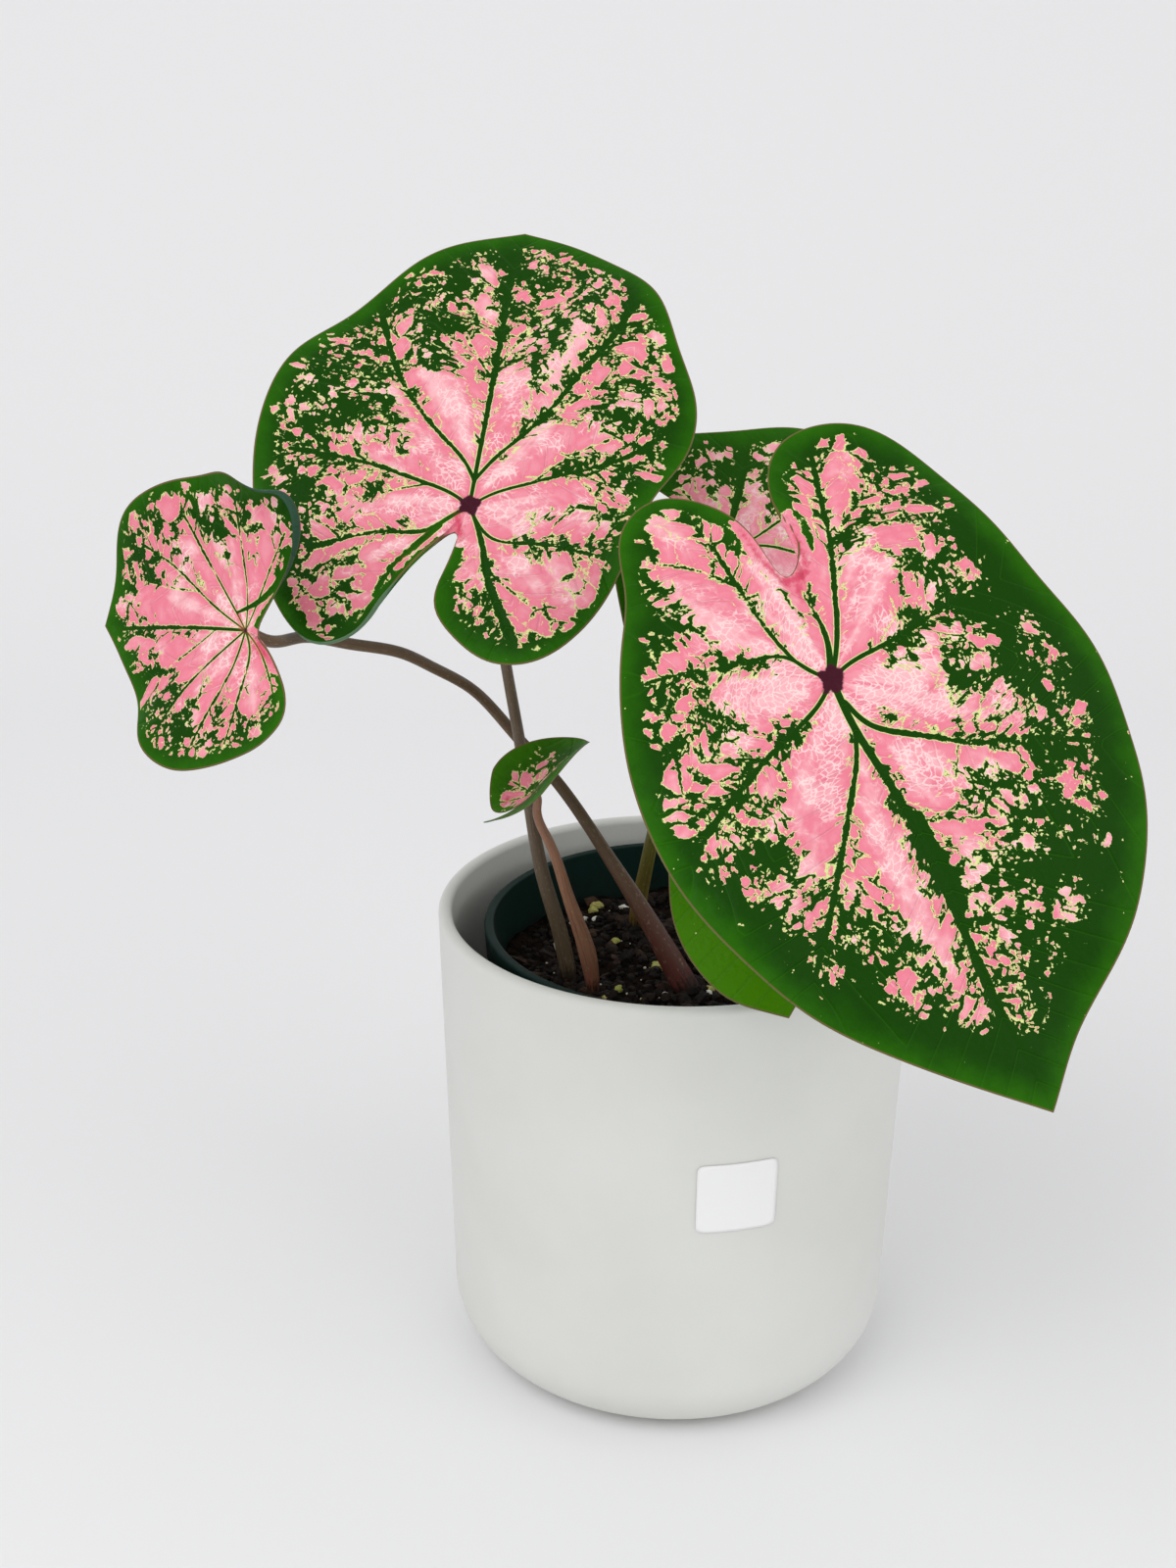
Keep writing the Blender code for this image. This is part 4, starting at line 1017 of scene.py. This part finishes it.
def leaf_markings():
    """Colour, roughness and relief of a marked caladium blade.

    It is pink where the marking field is above the outline's width, cream up to there and green
    below nothing, with a crimson blush, a dark spot at the joint, a brown rim and a dull underside.
    """
    inputs = {"Seed": 0.0, "Ragged": 1.0, "Flecks": 1.0, "Margin": 4.0, "Outline": 0.2, "Spot": 2.6,
              "Bright": 1000.0, "Under": srgb(96, 128, 96), "Green": srgb(19, 64, 0),
              "Fresh": srgb(44, 110, 2), "Pink": srgb(238, 148, 163)}
    tree, given = new_group("leaf markings", inputs, {"Colour": (), "Roughness": 0.0, "Height": 0.0})
    at = leaf_wires(tree, given)
    field = marking_field(at, given)
    pink = field.rise(given["Outline"] - 0.06, given["Outline"] + 0.08)
    colour = blend(field.rise(-0.07, 0.07), green_of_blade(at, given), CREAM)
    colour = blend(pink, colour, pink_of_blade(at, given, field))
    hot = (at.blush + at.ragged * 3.0 + at.fine * 2.5).rise(-0.8, 1.6)
    colour = blend(hot * field.rise(-0.5, 0.2) * 0.85, colour, CRIMSON)
    away = (at.u * at.u + at.v * at.v).math("SQRT")
    spot = given["Spot"] - (away + at.ragged * 4.0 + at.band.rise(-0.5, 2.0) * 1.8)
    colour = blend(spot.rise(-0.5, 0.5), colour, JOINT_RED)
    colour = blend(at.rim.rise(0.35, 0.2), colour, RIM_BROWN)
    colour = blend(at.under, colour, blend(pink * 0.7, given["Under"], UNDER_PINK))
    puff = seams(vector(tree, at.u + at.ragged * 2.0, at.v + at.fine * 2.0, at.seed), 0.34)
    height = puff.rise(0.0, 0.5) * 0.5 - at.side_vein.rise(0.1, 0.0) * 0.7 + at.fine * 0.4
    close_group(tree, colour=colour, roughness=field.rise(-1.0, 1.0) * 0.1 + 0.4, height=height)
    return tree


def new_material(name, roughness=0.5, specular=0.5):
    """A material, its tree and its shader node, with the roughness and shine of its surface."""
    material = bpy.data.materials.new(name)
    material.use_nodes = True
    shader = material.node_tree.nodes["Principled BSDF"]
    shader.inputs["Roughness"].default_value = roughness
    shader.inputs["Specular IOR Level"].default_value = specular
    return material, material.node_tree, shader


def use_group(tree, group, shader, values, depth):
    """A group node whose colour and relief, of a depth in millimetres, join a shader."""
    node = tree.nodes.new("ShaderNodeGroup")
    node.node_tree = group
    for label, value in values.items():
        join(node.inputs[label.capitalize()], value)
    tree.links.new(node.outputs["Colour"], shader.inputs["Base Color"])
    relief(tree, shader, node.outputs["Height"], depth)
    return node


def relief(tree, shader, height, depth):
    """Join a height in millimetres of the given depth to the shader's normal."""
    bump = tree.nodes.new("ShaderNodeBump")
    bump.inputs["Distance"].default_value = depth * MM
    tree.links.new(height, bump.inputs["Height"])
    tree.links.new(bump.outputs["Normal"], shader.inputs["Normal"])


def blade_finish(name, group, **values):
    """Finish of one leaf blade, with its own draw of the markings."""
    material, tree, shader = new_material("leaf_" + name, specular=0.06)
    node = use_group(tree, group, shader, values, 0.25)
    tree.links.new(node.outputs["Roughness"], shader.inputs["Roughness"])
    return material


def stalk_finish(name, group, **values):
    """Finish of one stalk."""
    material, tree, shader = new_material("stalk_" + name, 0.45, 0.3)
    use_group(tree, group, shader, values, 0.2)
    return material


def plain(name, colour, roughness):
    """A finish of one colour, in the shader's own sockets."""
    material, _, shader = new_material(name, roughness)
    shader.inputs["Base Color"].default_value = (*colour, 1)
    return material


def stalk_skin():
    """Colour and relief of a stalk: foot to top colour, long fine streaks, pale flecks and soil."""
    inputs = {"Foot": srgb(110, 80, 60), "Top": srgb(110, 90, 70), "Seed": 0.0}
    tree, given = new_group("stalk skin", inputs, {"Colour": (), "Height": 0.0})
    rise, share, turn = mark(tree, "along")
    around = turn * (2 * np.pi) + given["Seed"]
    across, back = around.math("SINE"), around.math("COSINE")
    streak = noise(vector(tree, across * 3.0, back * 3.0, rise * 0.06), 1.6, 3.0, 0.6)
    fleck = noise(vector(tree, across * 4.0, back * 4.0, rise * 0.7), 1.0, 2.0)
    colour = blend((share + streak * 0.4).rise(0.05, 0.3), given["Foot"], given["Top"])
    colour = blend(streak.rise(0.0, 0.2) * 0.45, colour, srgb(58, 38, 32))
    colour = blend(fleck.rise(0.1, 0.22) * 0.3, colour, srgb(176, 164, 140))
    dirt = (rise * -1.0 + (STALK_DEPTH + 5.0) + streak * 12.0 + fleck * 8.0).rise(-3.0, 3.0)
    colour = blend(dirt * 0.9, colour, srgb(24, 17, 13))
    close_group(tree, colour=colour, height=streak)
    return tree


def object_place(tree):
    """The object's own coordinates, in millimetres."""
    node = tree.nodes.new("ShaderNodeTexCoord")
    place = parts(Wire(node.outputs["Object"]))
    return vector(tree, *(number * 1000.0 for number in place)), place[2] * 1000.0


def ceramic_finish():
    """Matt off-white glaze with faint cloud and a bare cream foot."""
    material, tree, shader = new_material("matt_glaze", 0.5, 0.3)
    at, height = object_place(tree)
    cloud = noise(at, 0.02, 3.0).rise(-0.25, 0.25)
    colour = blend(cloud, srgb(217, 218, 213), srgb(223, 224, 220))
    foot = (height + noise(at, 0.15, 2.0) * 0.8).rise(1.5, 0.7)
    join(shader.inputs["Base Color"], blend(foot, colour, srgb(214, 198, 164)))
    relief(tree, shader, noise(at, 1.2, 3.0).output, 0.05)
    return material


def plastic_finish():
    """Dark teal moulded plastic, darkened in patches further down the pot: painted shade inside the pot."""
    material, tree, shader = new_material("nursery_plastic", 0.6, 0.15)
    at, height = object_place(tree)
    # Painted shade: below a little under the rim the plastic darkens, in patches, towards near black.
    shade_deeper_down = (noise(at, 0.12, 4.0, 0.65) + (height * -0.02 + 2.78)).rise(0.0, 0.35)
    join(shader.inputs["Base Color"], blend(shade_deeper_down * 0.6, srgb(0, 33, 27), srgb(12, 16, 13)))
    return material


def soil_finish():
    """Dark potting mix: two browns and near black in crumbs."""
    material, tree, shader = new_material("potting_mix", 1.0, 0.05)
    at, _ = object_place(tree)
    crumbs = cells(at, 0.6)[1]
    colour = blend(crumbs.rise(0.2, 0.9), srgb(12, 9, 8), srgb(34, 25, 19))
    damp = noise(at, 0.1, 3.0).rise(-0.05, 0.2)
    join(shader.inputs["Base Color"], blend(damp * 0.6, colour, srgb(10, 8, 7)))
    relief(tree, shader, (noise(at, 0.9, 3.0, 0.6) + crumbs * 0.3).output, 1.2)
    return material


def grain_finish(name, first, second, roughness):
    """Finish of loose grains: two colours by place."""
    material, tree, shader = new_material(name, roughness, 0.2)
    at, _ = object_place(tree)
    join(shader.inputs["Base Color"], blend(noise(at, 0.25, 2.0).rise(-0.2, 0.2), first, second))
    return material


def small_ball(rings, columns):
    """Points and triangles of a ball: a top, rings of points and a bottom."""
    down = np.pi * np.arange(1, rings + 1) / (rings + 1)
    round_ = 2 * np.pi * np.arange(columns) / columns
    ball = np.stack([np.outer(np.sin(down), np.cos(round_)), np.outer(np.sin(down), np.sin(round_)),
                     np.outer(np.cos(down), np.ones(columns))], -1).reshape(-1, 3)
    ball = np.vstack([[0, 0, 1], ball, [0, 0, -1]])
    j = np.arange(columns)
    after = (j + 1) % columns
    faces = [np.stack([np.zeros(columns, int), 1 + j, 1 + after], -1)]
    for low in 1 + columns * np.arange(rings - 1):
        faces += [np.stack([low + j, low + columns + j, low + columns + after], -1),
                  np.stack([low + j, low + columns + after, low + after], -1)]
    last = 1 + (rings - 1) * columns
    faces.append(np.stack([np.full(columns, len(ball) - 1), last + after, last + j], -1))
    return ball, np.vstack(faces)


def make_grains(name, count, size, shape, seed, material):
    """Lumps strewn over the soil, each a small ball of rings pushed out of round and turned about.

    A lump's corner is its direction times a random radius times the lump's three half widths.
    Some lumps gather at the stalks' feet, and the rest are spread evenly.
    """
    draw = np.random.default_rng(seed)
    reach = GRAIN_REACH * np.sqrt(draw.uniform(0, 1, count))
    turn = draw.uniform(0, 2 * np.pi, count)
    x = NURSERY_MIDDLE[0] + reach * np.cos(turn)
    y = NURSERY_MIDDLE[1] + reach * np.sin(turn)
    feet = stalk_feet()
    heaped = feet[draw.integers(len(feet), size=count)] + draw.normal(0, FEET_SPREAD, (count, 2))
    at_foot = draw.uniform(size=count) < GRAINS_AT_FEET
    x, y = np.where(at_foot, heaped.T, (x, y))
    ball, faces = small_ball(3, 6)
    wide = size * draw.lognormal(0, 0.35, (count, 1, 1)) * np.array(shape)
    wide = wide * draw.uniform(0.8, 1.2, (count, 1, 3))
    lumps = ball * wide * draw.uniform(0.75, 1.2, (count, len(ball), 1))
    basis = np.linalg.qr(draw.normal(size=(count, 3, 3)) + 2.5 * np.eye(3))[0]
    lumps = lumps @ basis.transpose(0, 2, 1)
    sunk = 0.35 * wide[:, 0].min(-1)
    lumps += np.stack([x, y, soil_height(x, y) + sunk], -1)[:, None]
    faces = (faces[None] + len(ball) * np.arange(count)[:, None, None]).reshape(-1, 3)
    mesh = bpy.data.meshes.new(name)
    mesh.from_pydata((lumps.reshape(-1, 3) * MM).tolist(), [], faces.tolist())
    return add_piece(name, mesh, material)


def make_label(material):
    """Blank paper sheet bent round the wall: rings of a round-cornered rectangle, front and back.

    A ring is the rectangle's outline by the angle from its middle, |x|^n + |y|^n = 1 with n the
    power of its corners.
    """
    middle, half = np.mean(LABEL_TURNS), np.ptp(LABEL_TURNS) / 2
    low, high = LABEL_HEIGHTS
    turn = np.linspace(0, 2 * np.pi, 128, endpoint=False)
    power = LABEL_CORNERS
    size = (np.abs(np.cos(turn))**power + np.abs(np.sin(turn))**power)**(-1 / power)
    ring = np.linspace(0, 1, 12)[:, None] * size
    across, up = ring * np.cos(turn), ring * np.sin(turn)
    z = (low + high) / 2 + up * (high - low) / 2
    angle = np.radians(middle + across * half)
    faces = []
    for depth in (LABEL_FACE, GAP):
        r = wall_radius(z) + depth
        faces.append(np.stack([r * np.sin(angle), -r * np.cos(angle), z], -1))
    return skin("label_sheet", np.concatenate([faces[0], faces[1][::-1]]), material)


def finish_piece(piece, slot, *nodes):
    """A piece rides with the plant's one body and stands for its CAD nodes.  Its finish slot is not used.
    """
    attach(piece, "root")
    if nodes:
        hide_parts(*nodes)


LEAF_LOOKS = {
    "right": dict(seed=3.0, margin=8.0, spot=4.0),
    "centre": dict(seed=17.0, margin=4.0, spot=3.6),
    "left": dict(seed=31.0, margin=2.5, ragged=0.6, outline=0.13, spot=0.8, under=srgb(48, 78, 60)),
    # The back leaf's green and pink are lighter than the other leaves', and its green turns to lit green
    # beyond 62 mm along the midrib: painted light, where it is lit from behind.
    "back": dict(seed=47.0, margin=4.0, flecks=0.75, bright=62.0, green=srgb(28, 76, 2),
                 pink=srgb(255, 178, 190)),
    "young": dict(seed=63.0, margin=3.0, flecks=0.5, spot=0.8, green=srgb(38, 86, 4),
                  fresh=srgb(66, 130, 14)),
}

STALK_LOOKS = {
    "right": dict(seed=1.0, foot=srgb(112, 84, 56), top=srgb(122, 96, 66)),
    "centre": dict(seed=2.0, foot=srgb(96, 82, 62), top=srgb(108, 92, 74)),
    "left": dict(seed=3.0, foot=srgb(94, 50, 44), top=srgb(102, 82, 60)),
    "back": dict(seed=4.0, foot=srgb(116, 92, 44), top=srgb(112, 110, 46)),
    "young": dict(seed=5.0, foot=srgb(152, 90, 72), top=srgb(150, 108, 84)),
}

# Loose grains: how many, their half width and proportions, a seed, their two colours and roughness
GRAINS = {
    "crumbs": (1500, 1.0, (1.2, 1.0, 0.8), 11, srgb(13, 10, 8), srgb(34, 25, 19), 0.8),
    "bark": (90, 1.8, (1.5, 0.9, 0.35), 12, srgb(34, 23, 16), srgb(66, 46, 32), 0.8),
    "perlite": (46, 1.0, (1.1, 1.0, 0.8), 13, srgb(206, 204, 190), srgb(236, 234, 222), 0.8),
    "specks": (150, 0.35, (1.0, 1.0, 0.8), 14, srgb(190, 184, 160), srgb(226, 222, 200), 0.8),
    "prills": (24, 1.25, (1.1, 1.0, 0.9), 15, srgb(152, 160, 70), srgb(190, 178, 110), 0.4),
}


def make_camera():
    """Camera that looks along +Y, tilted down by its pitch and turned about its view by its roll."""
    lens = bpy.data.cameras.new("camera")
    lens.sensor_fit = "VERTICAL"
    lens.sensor_height = CAMERA_FRAME
    lens.lens = CAMERA_LENS
    lens.clip_start = 0.01
    camera = add_object("camera", lens)
    turn = Matrix.Rotation(np.radians(90 - CAMERA_PITCH), 4, "X")
    roll = Matrix.Rotation(np.radians(CAMERA_ROLL), 4, "Z")
    camera.matrix_world = Matrix.Translation(Vector(CAMERA_PLACE) * MM) @ turn @ roll
    bpy.context.scene.camera = camera


def area_light(name, place, aim, size, power):
    """A square soft light at a place, in metres, turned towards a point."""
    lamp = bpy.data.lights.new(name, "AREA")
    lamp.size = size
    lamp.energy = power
    light = add_object(name, lamp)
    way = Vector(aim) - Vector(place)
    light.matrix_world = Matrix.Translation(place) @ way.to_track_quat("-Z", "Y").to_matrix().to_4x4()


def make_floor():
    """Pale floor that curves up into a pale wall behind: a profile of (y, z) drawn out sideways."""
    half_width, front, back, bend, top = 3000, -2500, 600, 500, 2500
    turn = np.linspace(0.1, np.pi / 2, 14)
    profile = [(front, 0), (back, 0), *zip(back + bend * np.sin(turn), bend - bend * np.cos(turn)),
               (back + bend, top)]
    corners = [(x * MM, y * MM, z * MM) for x in (-half_width, half_width) for y, z in profile]
    count = len(profile)
    mesh = bpy.data.meshes.new("floor")
    mesh.from_pydata(corners, [], [(i, i + count, i + count + 1, i + 1) for i in range(count - 1)])
    mesh.shade_smooth()
    add_piece("floor", mesh, plain("floor", (0.85, 0.85, 0.86), 0.9))


def make_studio():
    """The floor, a bright even surround and two soft lights."""
    make_floor()
    world = bpy.data.worlds.new("surround")
    world.use_nodes = True
    background = world.node_tree.nodes["Background"]
    background.inputs["Color"].default_value = (1, 1, 1, 1)
    background.inputs["Strength"].default_value = SURROUND
    bpy.context.scene.world = world
    area_light("key", (-0.9, -1.1, 1.6), (0, 0, 0.15), 1.4, 14)
    area_light("fill", (1.2, -0.9, 1.1), (0, 0, 0.15), 1.4, 6)


markings = leaf_markings()
streaks = stalk_skin()
for name, leaf in LEAVES.items():
    blade = make_blade("leaf_" + name, leaf, blade_finish(name, markings, **LEAF_LOOKS[name]))
    finish_piece(blade, "young_leaf_blade" if name == "young" else "leaf_blade", "blade_" + name)
    stalk = make_stalk(name, stalk_finish(name, streaks, **STALK_LOOKS[name]))
    finish_piece(stalk, "leaf_stalk", "petiole_" + name)
finish_piece(make_cover_pot(ceramic_finish()), "pot_ceramic", "cover_pot")
finish_piece(make_nursery_pot(plastic_finish()), "nursery_plastic", "nursery_pot")
finish_piece(make_soil(soil_finish()), "potting_soil", "soil")
finish_piece(make_label(plain("blank_paper", (0.9, 0.9, 0.9), 0.6)), "label_paper", "label")
for name, (count, size, shape, seed, first, second, roughness) in GRAINS.items():
    grains = make_grains("soil_" + name, count, size, shape, seed,
                         grain_finish(name, first, second, roughness))
    finish_piece(grains, "potting_soil")
make_camera()
make_studio()
bpy.context.scene.view_settings.view_transform = "Standard"
